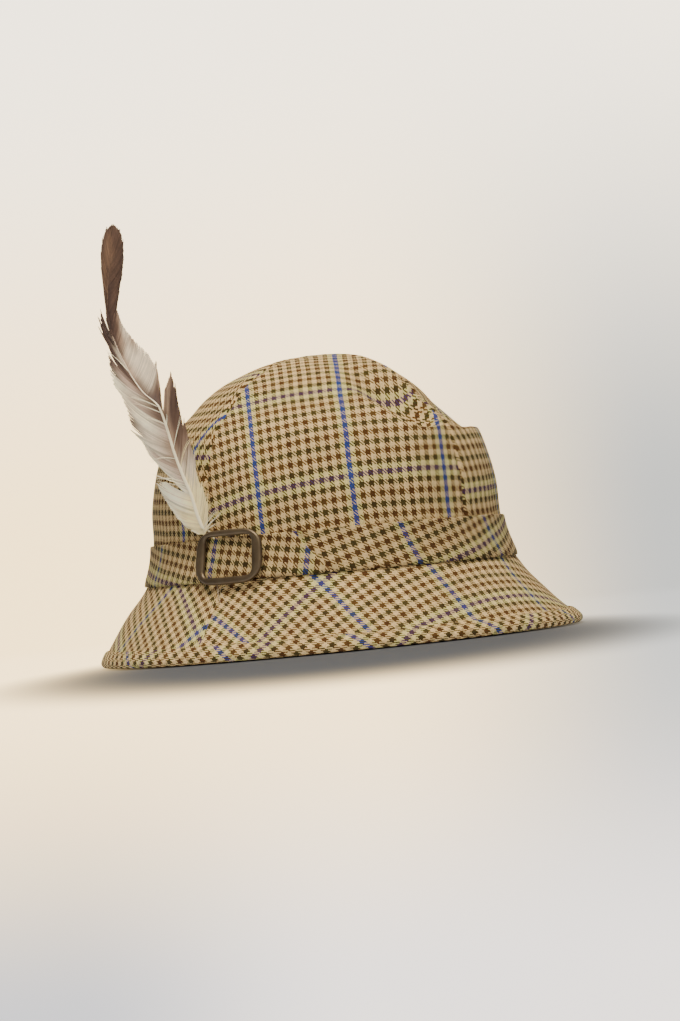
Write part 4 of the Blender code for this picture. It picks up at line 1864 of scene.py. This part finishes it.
class Lock(NamedTuple):
    """A lock of barbs: the stretch of quill it grows from, its two end barbs' tips and its tones.

    Lengths are in millimetres. Tips are given by how far they lie right of the hat's middle, as the
    camera sees it, and by their height. The tones are those by the quill, half-way out and at the tips.
    """

    side: Side
    root_low: float
    root_high: float
    low_across: float
    low_up: float
    high_across: float
    high_up: float
    root: Tone
    middle: Tone
    tip: Tone


LEFT_LOCKS = (
    (64.5, 67.5, -66, 64.6, -69.5, 66.8, IVORY, IVORY, CREAM),
    (66, 70, -72, 69, -75, 73.5, IVORY, IVORY, CREAM),
    (68, 75, -75.5, 73.5, -81, 84, IVORY, IVORY, CREAM),
    (74, 81.5, -80.5, 83, -84.4, 92.5, IVORY, CREAM, CREAM),
    (81, 84, -82.5, 92, -79.5, 92.5, IVORY, CREAM, CREAM),
    (84, 92, -74.5, 91.5, -83, 102, SMOKE, CREAM, CREAM),
    (89, 97, -82, 101, -87.5, 108.5, ROSE, SMOKE, CREAM),
    (95, 103, -86.5, 107, -89.5, 114.5, TAUPE, ROSE, SMOKE),
    (100, 109, -88.5, 113.5, -95, 121, TAUPE, SMOKE, CREAM),
    (107, 114, -93.5, 121.5, -95.5, 131, TAUPE, SMOKE, BROWN),
    (112, 121, -94.5, 129, -98.5, 141, ROSE, CREAM, SMOKE),
    (119, 128, -97.5, 138.5, -102, 146, BROWN, ROSE, CREAM),
    (126, 134, -101, 144, -103, 153, BROWN, SMOKE, CREAM),
    (132, 142, -102.5, 151.5, -103.2, 162, BROWN, ROSE, UMBER),
    (140, 148, -101.5, 160.5, -104, 171, BROWN, UMBER, UMBER),
    (146, 155, -103.4, 168, -107.4, 177, ROSE, UMBER, BROWN),
    (150, 158, -105, 172, -107, 182, SMOKE, UMBER, UMBER),
    (154, 163, -105.6, 177, -105.2, 185, SMOKE, UMBER, UMBER),
    (160, 169, -102.8, 179, -102, 188, UMBER, BROWN, UMBER),
    (167, 178, -102, 186, -102.2, 196, UMBER, UMBER, UMBER),
    (176, 189, -102.3, 194, -102.4, 206, UMBER, BROWN, UMBER),
    (187, 199, -102.4, 204, -101.6, 214, BROWN, TAN, BROWN),
    (197, 207, -101.8, 212, -99.9, 220.5, BROWN, TAN, BROWN),
    (204, 213, -100, 219.5, -97, 226, TAN, TAN, BROWN),
    (210, 219, -97.1, 224.6, -94, 226.8, BROWN, TAN, BROWN),
)
RIGHT_LOCKS = (
    (63, 66, -61, 66.5, -57, 71, IVORY, IVORY, CREAM),
    (64, 69, -59.5, 72, -58.6, 82, IVORY, IVORY, IVORY),
    (67.5, 74, -59.3, 79, -60.8, 90, IVORY, IVORY, IVORY),
    (72, 79, -61.2, 86, -63.6, 98, IVORY, IVORY, IVORY),
    (77, 86, -63.4, 93, -62.8, 106, IVORY, IVORY, SMOKE),
    (84, 94, -63.2, 102, -65.5, 114.5, IVORY, SMOKE, TAUPE),
    (92, 102, -65.2, 111.5, -66.6, 122.5, SMOKE, TAUPE, BROWN),
    (99, 108, -67.5, 120, -68.8, 131.5, TAUPE, BROWN, BROWN),
    (105, 114, -68.6, 127, -69.6, 141.5, TAUPE, BROWN, UMBER),
    (111, 120, -69.8, 137, -71.4, 148.5, TAUPE, UMBER, BROWN),
    (117, 125, -71.6, 146.5, -75.3, 138.5, BROWN, TAUPE, TAUPE),
    (124, 131, -77.6, 133, -77.6, 143, UMBER, UMBER, BROWN),
    (129, 139, -77.5, 140, -78.6, 154.5, UMBER, BROWN, TAUPE),
    (137, 146, -78.4, 151, -83, 160, BROWN, SMOKE, SMOKE),
    (144, 153, -82.4, 158, -88.3, 166, TAUPE, SMOKE, SMOKE),
    (151, 160, -87.6, 164, -92, 171.5, TAUPE, SMOKE, TAUPE),
    (158, 167, -91.4, 169.5, -95.2, 177.5, UMBER, TAUPE, SMOKE),
    (165, 173, -94.6, 175.5, -97.2, 186.5, UMBER, BROWN, TAUPE),
    (171, 181, -97, 184, -94.2, 193, UMBER, UMBER, BROWN),
    (178, 190, -95.2, 190.5, -91.8, 202, UMBER, BROWN, UMBER),
    (188, 199, -92, 199.5, -89.8, 211, UMBER, BROWN, UMBER),
    (197, 207, -90, 208.5, -89.2, 218, BROWN, BROWN, UMBER),
    (204, 213, -89.4, 216.5, -90.4, 223.8, TAN, BROWN, BROWN),
    (210, 219, -90.3, 223, -93.6, 226.8, TAN, BROWN, BROWN),
)
LOCKS = [Lock(Side.LEFT, *row) for row in LEFT_LOCKS] + [Lock(Side.RIGHT, *row) for row in RIGHT_LOCKS]


class Wisp(NamedTuple):
    """A few loose barbs: the quill height that they grow from, their bend, their tips and their tone."""

    root: float
    bend_across: float
    bend_up: float
    tip_across: float
    tip_up: float
    tone: Tone


WISPS = rows(
    Wisp,
    (66, -58, 69, -52.8, 73.5, CREAM),
    (66.5, -59, 71.5, -54.8, 75.5, CREAM),
    (67, -60, 73, -57, 80, IVORY),
    (65, -58.6, 67, -55.5, 68.6, CREAM),
    (70, -61.5, 78, -58, 84.5, IVORY),
    (89, -77, 93, -85.5, 97, CREAM),
    (88, -76, 91, -82.8, 92.8, CREAM),
    (90.5, -76.5, 95, -84.5, 94.5, CREAM),
    (166, -103, 174, -106, 172, UMBER),
    (163, -102.5, 172, -106, 180, UMBER),
    (98, -66.5, 112, -62.6, 113, IVORY),
    (150, -99, 160, -104.4, 163, CREAM),
    (108, -71, 114, -67.8, 124, CREAM),
    (112, -76, 118, -75, 126, CREAM),
    (127, -84, 131, -92, 134, CREAM),
    (130, -86, 135, -95, 139.5, CREAM),
    (121, -80, 124, -88, 127, CREAM),
    (103, -80, 106, -86, 103.5, CREAM),
)


class FootHair(NamedTuple):
    """A hair of down that comes out under the slide: where it starts and ends on the brim."""

    start_bearing: float
    start_share: float
    end_bearing: float
    end_share: float
    lift: float


FOOT_HAIRS = rows(
    FootHair,
    (84.3, 0.04, 80.3, 0.38, 0.0016),
    (83.8, 0.06, 80.8, 0.33, 0.0026),
    (82.4, 0.17, 78.3, 0.37, 0.0014),
    (80.8, 0.10, 82.6, 0.19, 0.0022),
    (83.0, 0.04, 82.2, 0.24, 0.0020),
)


@dataclass(frozen=True)
class Barb:
    """One barb: the points along it, its three tones and its share of the full width."""

    line: list[Vector]
    tones: Sequence[Sequence[float]]
    width: float

    def tone(self, share: float) -> list[float]:
        """The barb's tone at a place along it.

        Args:
            share: The share of the way to its tip.

        Returns:
            The colour there, linear.
        """
        first = 0 if share < 0.5 else 1
        inside = smooth(2.0 * share - first)
        return [a + (b - a) * inside for a, b in zip(self.tones[first], self.tones[first + 1])]


@dataclass(frozen=True)
class Feather:
    """A quill that runs down behind the band, its two vanes of barbs, and loose down at its foot."""

    slide: Slide
    brim: BrimForm
    view_bearing: float = 45.0
    barb_spacing: float = 0.00044
    overlap: float = 1.35
    barb_width: float = 0.00080
    barb_thickness: float = 0.00016
    barb_steps: int = 7
    taper: float = 0.70
    taper_bend: float = 2.2
    thinning: float = 0.6
    lean: float = 0.42
    bow_out: float = 0.25
    bow_up: float = 0.28
    ruffle: float = 0.0007
    crowd: float = 0.06
    length_stray: tuple[float, float] = (-0.035, 0.03)
    lift_stray: float = 0.3
    blend: float = 0.7
    light: float = 0.18
    dark_share: float = 0.08
    dark: float = 0.7
    wisp_width: float = 0.30
    wisp_stray: float = 0.6
    wisp_tip_stray: float = 1.1
    wisps_in_row: int = 3
    hair_width: float = 0.24
    hair_lift: float = 0.0004
    hair_end_lift: float = 0.4
    tuck_radius: float = 0.00045
    seed: int = 11
    quill_sides: int = 10
    quill_steps: int = 120

    @lru_cache(maxsize=None)
    def station(self, height: float) -> QuillRow:
        """The quill at a height, on smooth curves through its rows.

        Args:
            height: The height, in metres.

        Returns:
            The row for that height.
        """
        keys = [row.z for row in QUILL]
        values = [curve_through(keys, [row[c] for row in QUILL], height) for c in (0, 1, 3, 4)]
        return QuillRow(values[0], values[1], height, values[2], values[3])

    def centre(self, height: float) -> Vector:
        """The middle of the quill at a height."""
        row = self.station(height)
        return Vector((row.x, row.y, row.z))

    def facing(self, height: float) -> Vector:
        """The direction that the feather faces at a height."""
        angle = radians(self.station(height).facing)
        return Vector((sin(angle), -cos(angle), 0.0))

    def in_view(self, across: float, up: float) -> Vector:
        """A point of the feather's surface, from where the camera sees it.

        Args:
            across: Distance right of the hat's middle, in metres.
            up: Height, in metres.

        Returns:
            The point on the surface through the quill.
        """
        height = min(QUILL[-1].z, max(QUILL[0].z, up))
        angle = radians(self.view_bearing)
        right = Vector((cos(angle), -sin(angle), 0.0))
        toward = Vector((-sin(angle), -cos(angle), 0.0))
        centre = self.centre(height)
        face = self.facing(height)
        offset = across - centre.dot(right)
        depth = centre.dot(toward) - offset * face.dot(right) / face.dot(toward)
        return right * across + toward * depth + Vector((0.0, 0.0, up))

    def quill_line(self) -> list[tuple[Vector, float]]:
        """The quill's run.

        Returns:
            Its middle and its radius at each station, from its foot behind the band to its top.
        """
        line = [(self.slide.on_crown(*row), self.tuck_radius) for row in TUCK]
        for step in range(self.quill_steps + 1):
            height = QUILL[0].z + (QUILL[-1].z - QUILL[0].z) * step / self.quill_steps
            line.append((self.centre(height), self.station(height).radius))
        return line

    def quill(self) -> Piece:
        """Shapes the quill from a cylinder that is cut along its length.

        Returns:
            The finished mesh object.
        """
        line = self.quill_line()
        add = bpy.ops.mesh.primitive_cylinder_add
        piece = Bench.start("feather_quill", add, vertices=self.quill_sides, radius=1.0, depth=1.0)
        cuts = len(line) - 2
        mesh = bmesh.new()
        mesh.from_mesh(piece.data)
        upright = [e for e in mesh.edges if abs(e.verts[0].co.z - e.verts[1].co.z) > 0.5]
        bmesh.ops.subdivide_edges(mesh, edges=upright, cuts=cuts, use_grid_fill=True)
        mesh.to_mesh(piece.data)
        mesh.free()

        def spot(flat: Vector) -> Vector:
            """The place of a point of the quill.

            Args:
                flat: The point of the cylinder.

            Returns:
                The place.
            """
            middle, radius = line[round((flat.z + 0.5) * (len(line) - 1))]
            face = self.facing(max(QUILL[0].z, middle.z))
            side = face.cross(Vector(UP))
            return middle + (face * flat.y + side * flat.x) * radius

        Bench.place(piece, spot)
        Bench.face_outward(piece)
        Bench.soften(piece, CLOTH_CREASE)
        return piece

    def barbs(self) -> list[Barb]:
        """Every barb of the feather.

        Returns:
            The barbs of the locks, the loose ones and the down at the foot.
        """
        chance = random.Random(self.seed)
        made = []
        for place, lock in enumerate(LOCKS):
            near = LOCKS[max(0, place - 1)], LOCKS[min(len(LOCKS) - 1, place + 1)]
            rooted = lock.root_high - lock.root_low
            count = max(3, round(MILLIMETRE * rooted / self.barb_spacing * self.overlap))
            lift = chance.uniform(-1.0, 1.0)
            for k in range(count):
                t = k / (count - 1)
                root = MILLIMETRE * (lock.root_low + rooted * t)
                gather = t + self.crowd * sin(tau * t)
                across = MILLIMETRE * (lock.low_across + (lock.high_across - lock.low_across) * gather)
                up = MILLIMETRE * (lock.low_up + (lock.high_up - lock.low_up) * gather)
                length = 1.0 + chance.uniform(*self.length_stray)
                line = self.bend(root, (across, up), length, lift, chance)
                beside = near[1] if t > 0.5 else near[0]
                share = chance.random() * abs(2.0 * t - 1.0) if beside.side is lock.side else 0.0
                made.append(Barb(line, self.tones(lock, beside, self.blend * share, chance), 1.0))
        for wisp in WISPS:
            tones = (linear(wisp.tone.value),) * 3
            for _ in range(self.wisps_in_row):
                made.append(Barb(self.loose(wisp, chance), tones, self.wisp_width))
        tones = (linear(SMOKE.value),) * 3
        return made + [Barb(self.foot_hair(hair), tones, self.hair_width) for hair in FOOT_HAIRS]

    def tones(self, lock: Lock, beside: Lock, share: float, chance: random.Random) -> list[list[float]]:
        """A barb's own three tones: its lock's, a share of its neighbour's and some chance.

        Args:
            lock: Its lock.
            beside: The nearer neighbouring lock.
            share: How much of the neighbour shows.
            chance: The seeded numbers.

        Returns:
            The tones beside the quill, half-way out and at the tip.
        """
        light = chance.uniform(1.0 - self.light, 1.0 + self.light)
        light *= self.dark if chance.random() < self.dark_share else 1.0
        found = []
        for own, other in zip(lock[-3:], beside[-3:]):
            pairs = zip(linear(own.value)[:3], linear(other.value)[:3])
            found.append([light * (a + (b - a) * share) for a, b in pairs] + [1.0])
        return found

    def foot(self, root: float) -> Vector:
        """Where a barb leaves the quill, also below the free part."""
        return self.centre(max(root, QUILL[0].z)) + Vector((0.0, 0.0, min(0.0, root - QUILL[0].z)))

    def curve(self, start: Vector, middle: Vector, end: Vector) -> list[Vector]:
        """Points along a bend from a start to an end, drawn toward a middle point."""
        shares = [step / self.barb_steps for step in range(self.barb_steps + 1)]
        return [start * (1.0 - t) ** 2 + middle * 2.0 * t * (1.0 - t) + end * t * t for t in shares]

    def bend(
        self, root: float, tip: tuple[float, float], length: float, lift: float, chance: random.Random
    ) -> list[Vector]:
        """The curve of one barb, from the quill out and then up to its tip.

        Args:
            root: The height it grows from.
            tip: How far right of the hat's middle and how high its tip is.
            length: Its length as a share.
            lift: How far its lock stands forward, from -1 to 1.
            chance: The seeded numbers.

        Returns:
            The points along it.
        """
        start = self.foot(root)
        reach = (self.in_view(*tip) - start) * length
        middle = start + Vector((reach.x, reach.y, 0.0)) * (0.5 + self.bow_out * self.lean)
        middle += Vector(UP) * (reach.z * (0.5 - self.bow_up * self.lean))
        lift += chance.uniform(-self.lift_stray, self.lift_stray)
        middle += self.facing(max(root, QUILL[0].z)) * self.ruffle * lift
        return self.curve(start, middle, start + reach)

    def loose(self, wisp: Wisp, chance: random.Random) -> list[Vector]:
        """The curve of one loose barb.

        Args:
            wisp: Its row.
            chance: The seeded numbers.

        Returns:
            The points along it.
        """
        start = self.foot(MILLIMETRE * wisp.root)
        middle = self.in_view(MILLIMETRE * wisp.bend_across, MILLIMETRE * wisp.bend_up)
        tip = self.in_view(MILLIMETRE * wisp.tip_across, MILLIMETRE * wisp.tip_up)
        for point, stray in ((middle, self.wisp_stray), (tip, self.wisp_tip_stray)):
            point += Vector([MILLIMETRE * chance.uniform(-stray, stray) for _ in range(3)])
        return self.curve(start, middle + self.facing(start.z) * 2.0 * self.ruffle, tip)

    def foot_hair(self, hair: FootHair) -> list[Vector]:
        """The curve of one hair of down over the brim.

        Args:
            hair: Its row.

        Returns:
            The points along it.
        """
        off = 0.5 * self.brim.thickness + self.hair_lift
        ends = []
        for place in ((hair.start_bearing, hair.start_share), (hair.end_bearing, hair.end_share)):
            ends.append(self.brim.middle(*place) + self.brim.axes(*place)[1] * off)
        lifted = self.brim.axes(hair.start_bearing, hair.start_share)[1] * hair.lift
        middle = 0.5 * (ends[0] + ends[1]) + lifted
        return self.curve(ends[0], middle, ends[1] + self.hair_end_lift * lifted)

    def vane(self) -> Piece:
        """Builds every barb as a thin tapered blade, in one mesh.

        Returns:
            The finished mesh object.
        """
        points, faces, tones = [], [], []
        for barb in self.barbs():
            base = len(points)
            for step, spot in enumerate(barb.line):
                t = step / self.barb_steps
                face = self.facing(min(QUILL[-1].z, max(QUILL[0].z, spot.z)))
                before, after = barb.line[max(0, step - 1)], barb.line[min(self.barb_steps, step + 1)]
                wide = (after - before).cross(face).normalized()
                width = 0.5 * self.barb_width * barb.width * (1.0 - self.taper * t**self.taper_bend)
                thick = 0.5 * self.barb_thickness * (1.0 - self.thinning * t)
                wide, face = wide * width, face * thick
                points += [spot + wide, spot + face, spot - wide, spot - face]
                tones += [barb.tone(t)] * 4
            for step in range(self.barb_steps):
                for k in range(4):
                    a, b = base + step * 4 + k, base + step * 4 + (k + 1) % 4
                    faces.append((a, b, b + 4, a + 4))
            last = base + self.barb_steps * 4
            faces += [(base + 3, base + 2, base + 1, base), (last, last + 1, last + 2, last + 3)]
        mesh = bpy.data.meshes.new("feather_vane")
        mesh.from_pydata([tuple(p) for p in points], [], faces)
        piece = Bench.link("feather_vane", mesh)
        layer = mesh.color_attributes.new(name=BARB_TONE, type="FLOAT_COLOR", domain="POINT")
        layer.data.foreach_set("color", [value for tone in tones for value in tone])
        Bench.face_outward(piece)
        Bench.soften(piece)
        return piece


@dataclass(frozen=True)
class ViewPoint:
    """The camera: level with the brim, ahead and to the wearer's right, tipped a little on its side."""

    bearing: float = 45.0
    distance: float = 1.10
    eye_height: float = 0.0326
    roll: float = 5.9
    lens: float = 73.11
    sensor: float = 36.0
    shift_x: float = 0.0052
    shift_y: float = 0.0719

    def level_axes(self) -> tuple[Vector, Vector]:
        """The level directions to the view's right and straight ahead."""
        sine, cosine = sin(radians(self.bearing)), cos(radians(self.bearing))
        return Vector((cosine, -sine, 0.0)), Vector((sine, cosine, 0.0))

    def build(self) -> None:
        """Makes the camera and sets it as the scene's."""
        data = bpy.data.cameras.new("camera")
        data.sensor_fit = "VERTICAL"
        data.sensor_height, data.lens = self.sensor, self.lens
        data.shift_x, data.shift_y = self.shift_x, self.shift_y
        camera = Bench.link("camera", data)
        roll = radians(self.roll)
        level, forward = self.level_axes()
        upright = Vector(UP)
        right = level * cos(roll) - upright * sin(roll)
        top = level * sin(roll) + upright * cos(roll)
        camera.matrix_world = Matrix((right, top, -forward)).transposed().to_4x4()
        camera.location = -forward * self.distance + upright * self.eye_height
        bpy.context.scene.camera = camera


class Lamp(NamedTuple):
    """A soft panel light: its direction from the hat, distance, size, power and colour."""

    name: str
    bearing: float
    elevation: float
    distance: float
    size: float
    power: float
    colour: Colour


@dataclass(frozen=True)
class Studio:
    """A pale floor with a painted shadow under the hat, a pale backdrop that is warm on the left and dim
    on the right, and panel lights.
    """

    view: ViewPoint
    floor_radius: float = 0.95
    floor_sides: int = 96
    floor_colour: Colour = (214, 222, 236)
    fill_colour: Colour = (238, 228, 216)
    fill_strength: float = 0.20
    backdrop_strength: float = 4.0
    warm: Colour = (255, 220, 158)
    dim: Colour = (137, 137, 134)
    pale: Colour = (250, 236, 212)
    low_left: Colour = (152, 151, 153)
    low_right: Colour = (204, 196, 190)
    least_ahead: float = 0.4
    dim_reach: tuple[float, float] = (0.0, 0.165)
    low_right_reach: tuple[float, float] = (-0.15, 0.0)
    low_reach: tuple[float, float] = (0.03, 0.20)
    pale_reach: tuple[float, float] = (0.02, 0.30)
    fade_reach: tuple[float, float] = (0.40, 0.90)
    shadow_width: float = 0.176
    shadow_length: float = 0.360
    shadow_near: float = 0.100
    shadow_reach: tuple[float, float] = (0.05, 1.05)
    shadow_power: float = 6.5
    shadow_shade: float = 0.085
    paper_roughness: float = 0.9
    aim_height: float = 0.08
    lamps: tuple[Lamp, ...] = (
        Lamp("key_light", 50.0, 60.0, 1.6, 0.6, 23.0, (255, 246, 230)),
        Lamp("side_light", 100.0, 30.0, 1.7, 1.0, 1.0, (255, 247, 234)),
        Lamp("front_light", 56.0, 24.0, 1.9, 1.0, 3.2, (255, 246, 230)),
        Lamp("top_light", 45.0, 80.0, 1.5, 0.8, 18.0, (255, 250, 240)),
        Lamp("rim_light", -150.0, 40.0, 1.9, 1.2, 3.5, (244, 248, 255)),
    )

    def build(self) -> None:
        """Makes the floor, the backdrop and the lights."""
        self.floor()
        self.air()
        for lamp in self.lamps:
            self.light(lamp)

    def tint(self, draft: Draft, side: Value, rise: Value) -> Socket:
        """The backdrop's colour.

        Args:
            draft: The tree that is being written.
            side: How far right of the view's middle, as a slope.
            rise: How far above it, as a slope.

        Returns:
            The colour's socket.
        """
        level = draft.mix(draft.step(side, *self.dim_reach), linear(self.warm), linear(self.dim))
        high = draft.mix(draft.step(rise, *self.pale_reach), level, linear(self.pale))
        rightward = draft.step(side, *self.low_right_reach)
        low = draft.mix(rightward, linear(self.low_left), linear(self.low_right))
        return draft.mix(draft.step(draft.math("MULTIPLY", rise, -1.0), *self.low_reach), high, low)

    def floor(self) -> None:
        """A round pale floor with a painted shadow below the hat, that fades into the backdrop."""
        add = bpy.ops.mesh.primitive_circle_add
        sizes = {"vertices": self.floor_sides, "radius": self.floor_radius}
        floor = Bench.start("studio_floor", add, fill_type="NGON", **sizes)
        draft = Draft("studio_paper")
        place = draft.place()
        fade = draft.step(draft.vector("LENGTH", place, result="Value"), *self.fade_reach)
        turned = draft.node("ShaderNodeVectorRotate", rotation_type="Z_AXIS")
        turned = draft.wire(turned, 0, Vector=place, Angle=radians(self.view.bearing))
        # painted shadow: an ellipse under the hat, longer toward the camera, inside which the glow fades
        # out
        nearer = draft.vector("ADD", turned, (0.0, self.shadow_near, 0.0))
        scale = (1.0 / self.shadow_width, 1.0 / self.shadow_length, 0.0)
        shares = draft.vector("MULTIPLY", nearer, scale)
        away = draft.step(draft.vector("LENGTH", shares, result="Value"), *self.shadow_reach)
        clear = draft.math("POWER", away, self.shadow_power)
        right, ahead, _ = draft.split(turned)
        ahead = draft.math("ADD", ahead, self.view.distance)
        side = draft.math("DIVIDE", right, ahead)
        rise = draft.math("DIVIDE", -self.view.eye_height, ahead)
        paper = linear(self.floor_colour)
        # the camera sees the paper darkened to painted shade, and a glow in the backdrop's tint, painted
        # light, brightens it outside the painted shadow
        shaded = tuple(self.shadow_shade * value for value in paper[:3]) + (1.0,)
        seen = draft.node("ShaderNodeLightPath").outputs["Is Camera Ray"]
        glow = draft.math("MULTIPLY", draft.math("MULTIPLY", clear, self.backdrop_strength), seen)
        draft.set(Base_Color=draft.mix(seen, paper, shaded), Roughness=self.paper_roughness)
        draft.set(Alpha=draft.math("SUBTRACT", 1.0, fade), Emission_Strength=glow)
        draft.set(Emission_Color=self.tint(draft, side, rise))
        floor.data.materials.append(draft.material)
        floor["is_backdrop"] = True

    def air(self) -> None:
        """The pale backdrop, which lights the hat less than it shows."""
        world = bpy.data.worlds.new("pale_air")
        draft = Draft("pale_air", world)
        away = draft.node("ShaderNodeTexCoord").outputs["Generated"]
        right, forward = self.view.level_axes()
        axes = forward, right, Vector(UP)
        along = [draft.vector("DOT_PRODUCT", away, axis, result="Value") for axis in axes]
        ahead = draft.math("MAXIMUM", along[0], self.least_ahead)
        side, rise = (draft.math("DIVIDE", share, ahead) for share in along[1:])
        seen = draft.node("ShaderNodeLightPath").outputs["Is Camera Ray"]
        colour = draft.mix(seen, linear(self.fill_colour), self.tint(draft, side, rise))
        draft.set(Color=colour, Strength=draft.spread(seen, self.fill_strength, self.backdrop_strength))
        bpy.context.scene.world = world

    def light(self, lamp: Lamp) -> None:
        """One panel light, turned toward the hat.

        Args:
            lamp: Its row.
        """
        data = bpy.data.lights.new(lamp.name, "AREA")
        data.shape = "DISK"
        data.size = lamp.size
        data.energy = lamp.power
        data.color = linear(lamp.colour)[:3]
        light = Bench.link(lamp.name, data)
        bearing, rise = radians(lamp.bearing), radians(lamp.elevation)
        level = Vector((-sin(bearing), -cos(bearing), 0.0))
        away = level * cos(rise) + Vector(UP) * sin(rise)
        light.location = away * lamp.distance + Vector(UP) * self.aim_height
        light.rotation_euler = away.to_track_quat("Z", "Y").to_euler()


@dataclass(frozen=True)
class Trilby:
    """The whole hat, piece by piece, and how each was cut from the cloth."""

    crown: CrownForm = field(default_factory=CrownForm)
    gore_lays: tuple[tuple[str, float, ClothLay], ...] = (
        ("crown_front_right", 0.0, ClothLay(0.0095, 0.0459, 0.0489, 0.0531, 0, 0.075, -0.07, -0.45, 0.97)),
        ("crown_back_right", 90.0, ClothLay(0.0570, 0.0678, 0.050, 0.055, 0, 0, 0.056)),
        ("crown_back_left", 180.0, ClothLay(0.0120, 0.0520, 0.050, 0.055, 2.0)),
        ("crown_front_left", 270.0, ClothLay(-0.0280, 0.0381, 0.049, 0.055, 0, 0.03, -0.059)),
    )
    brim_lays: tuple[tuple[str, float, float, ClothLay], ...] = (
        ("brim_front", -83, 166, ClothLay(-0.0799, 0.0249, 0.0493, 0.051, 0, 0.0643, -0.013, 1.46, 1.07)),
        ("brim_back", 83, 194, ClothLay(0.1696, 0.0298, 0.050, 0.050, 0, 0.21, -0.18)),
    )
    tape_lay: ClothLay = ClothLay(-0.0251, 0.0473, 0.0478, 0.0501, turn=45.0)
    right_band_lay: ClothLay = ClothLay(-0.0330, 0.0041, turn=16.0)
    left_band_lay: ClothLay = ClothLay(-0.0866, 0.0200, 0.0511, turn=-10.0)

    def build(self) -> None:
        """Builds and dresses every piece of the hat."""
        tweed = TweedFinish("gun_club_tweed", line_cover=0.64).material()
        plain = TweedFinish("gun_club_tweed_brim").material()
        bias = TweedFinish("gun_club_tweed_bias", drift=2.2, fuzz=0.85).material()
        # the band's tweed is the bias tweed with painted shade (depth), darker because the band lies in
        # shade
        band_tweed_painted_shade = TweedFinish("gun_club_tweed_band_painted_shade", drift=2.2, fuzz=0.85, depth=0.22).material()
        for name, first, lay in self.gore_lays:
            finish_piece(Gore(name + "_gore", first, lay, self.crown).build(), tweed, "tweed", name)
        brim = BrimForm(self.crown)
        for name, first, sweep, lay in self.brim_lays:
            finish_piece(BrimHalf(name + "_cloth", first, sweep, lay, brim).build(), plain, "tweed", name)
        finish_piece(Binding(brim, self.tape_lay).build(), bias, "tweed_bias", "brim_binding")
        band = Band(self.crown, self.right_band_lay, self.left_band_lay)
        finish_piece(band.build(), band_tweed_painted_shade, "tweed_bias", "hat_band")
        slide = Slide(self.crown, band)
        finish_piece(slide.build(), BronzeFinish().material(), "buckle_metal", "buckle")
        feather = Feather(slide, brim)
        finish_piece(feather.quill(), QuillFinish().material(), "plume", "feather")
        finish_piece(feather.vane(), VaneFinish().material(), "plume", "feather")


def corners(box: tuple[Vector, Vector]) -> list[list[float]]:
    """A box's two corners as plain lists."""
    return [list(box[0]), list(box[1])]


def main() -> None:
    """Builds the studio and the hat."""
    logging.basicConfig(level=logging.INFO, format="%(message)s")
    packed = corners(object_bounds())
    view = ViewPoint()
    view.build()
    Studio(view).build()
    Trilby().build()
    Bench.clear_selection()
    {"packed": packed, "dressed": corners(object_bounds())}


if __name__ == "__main__":
    main()
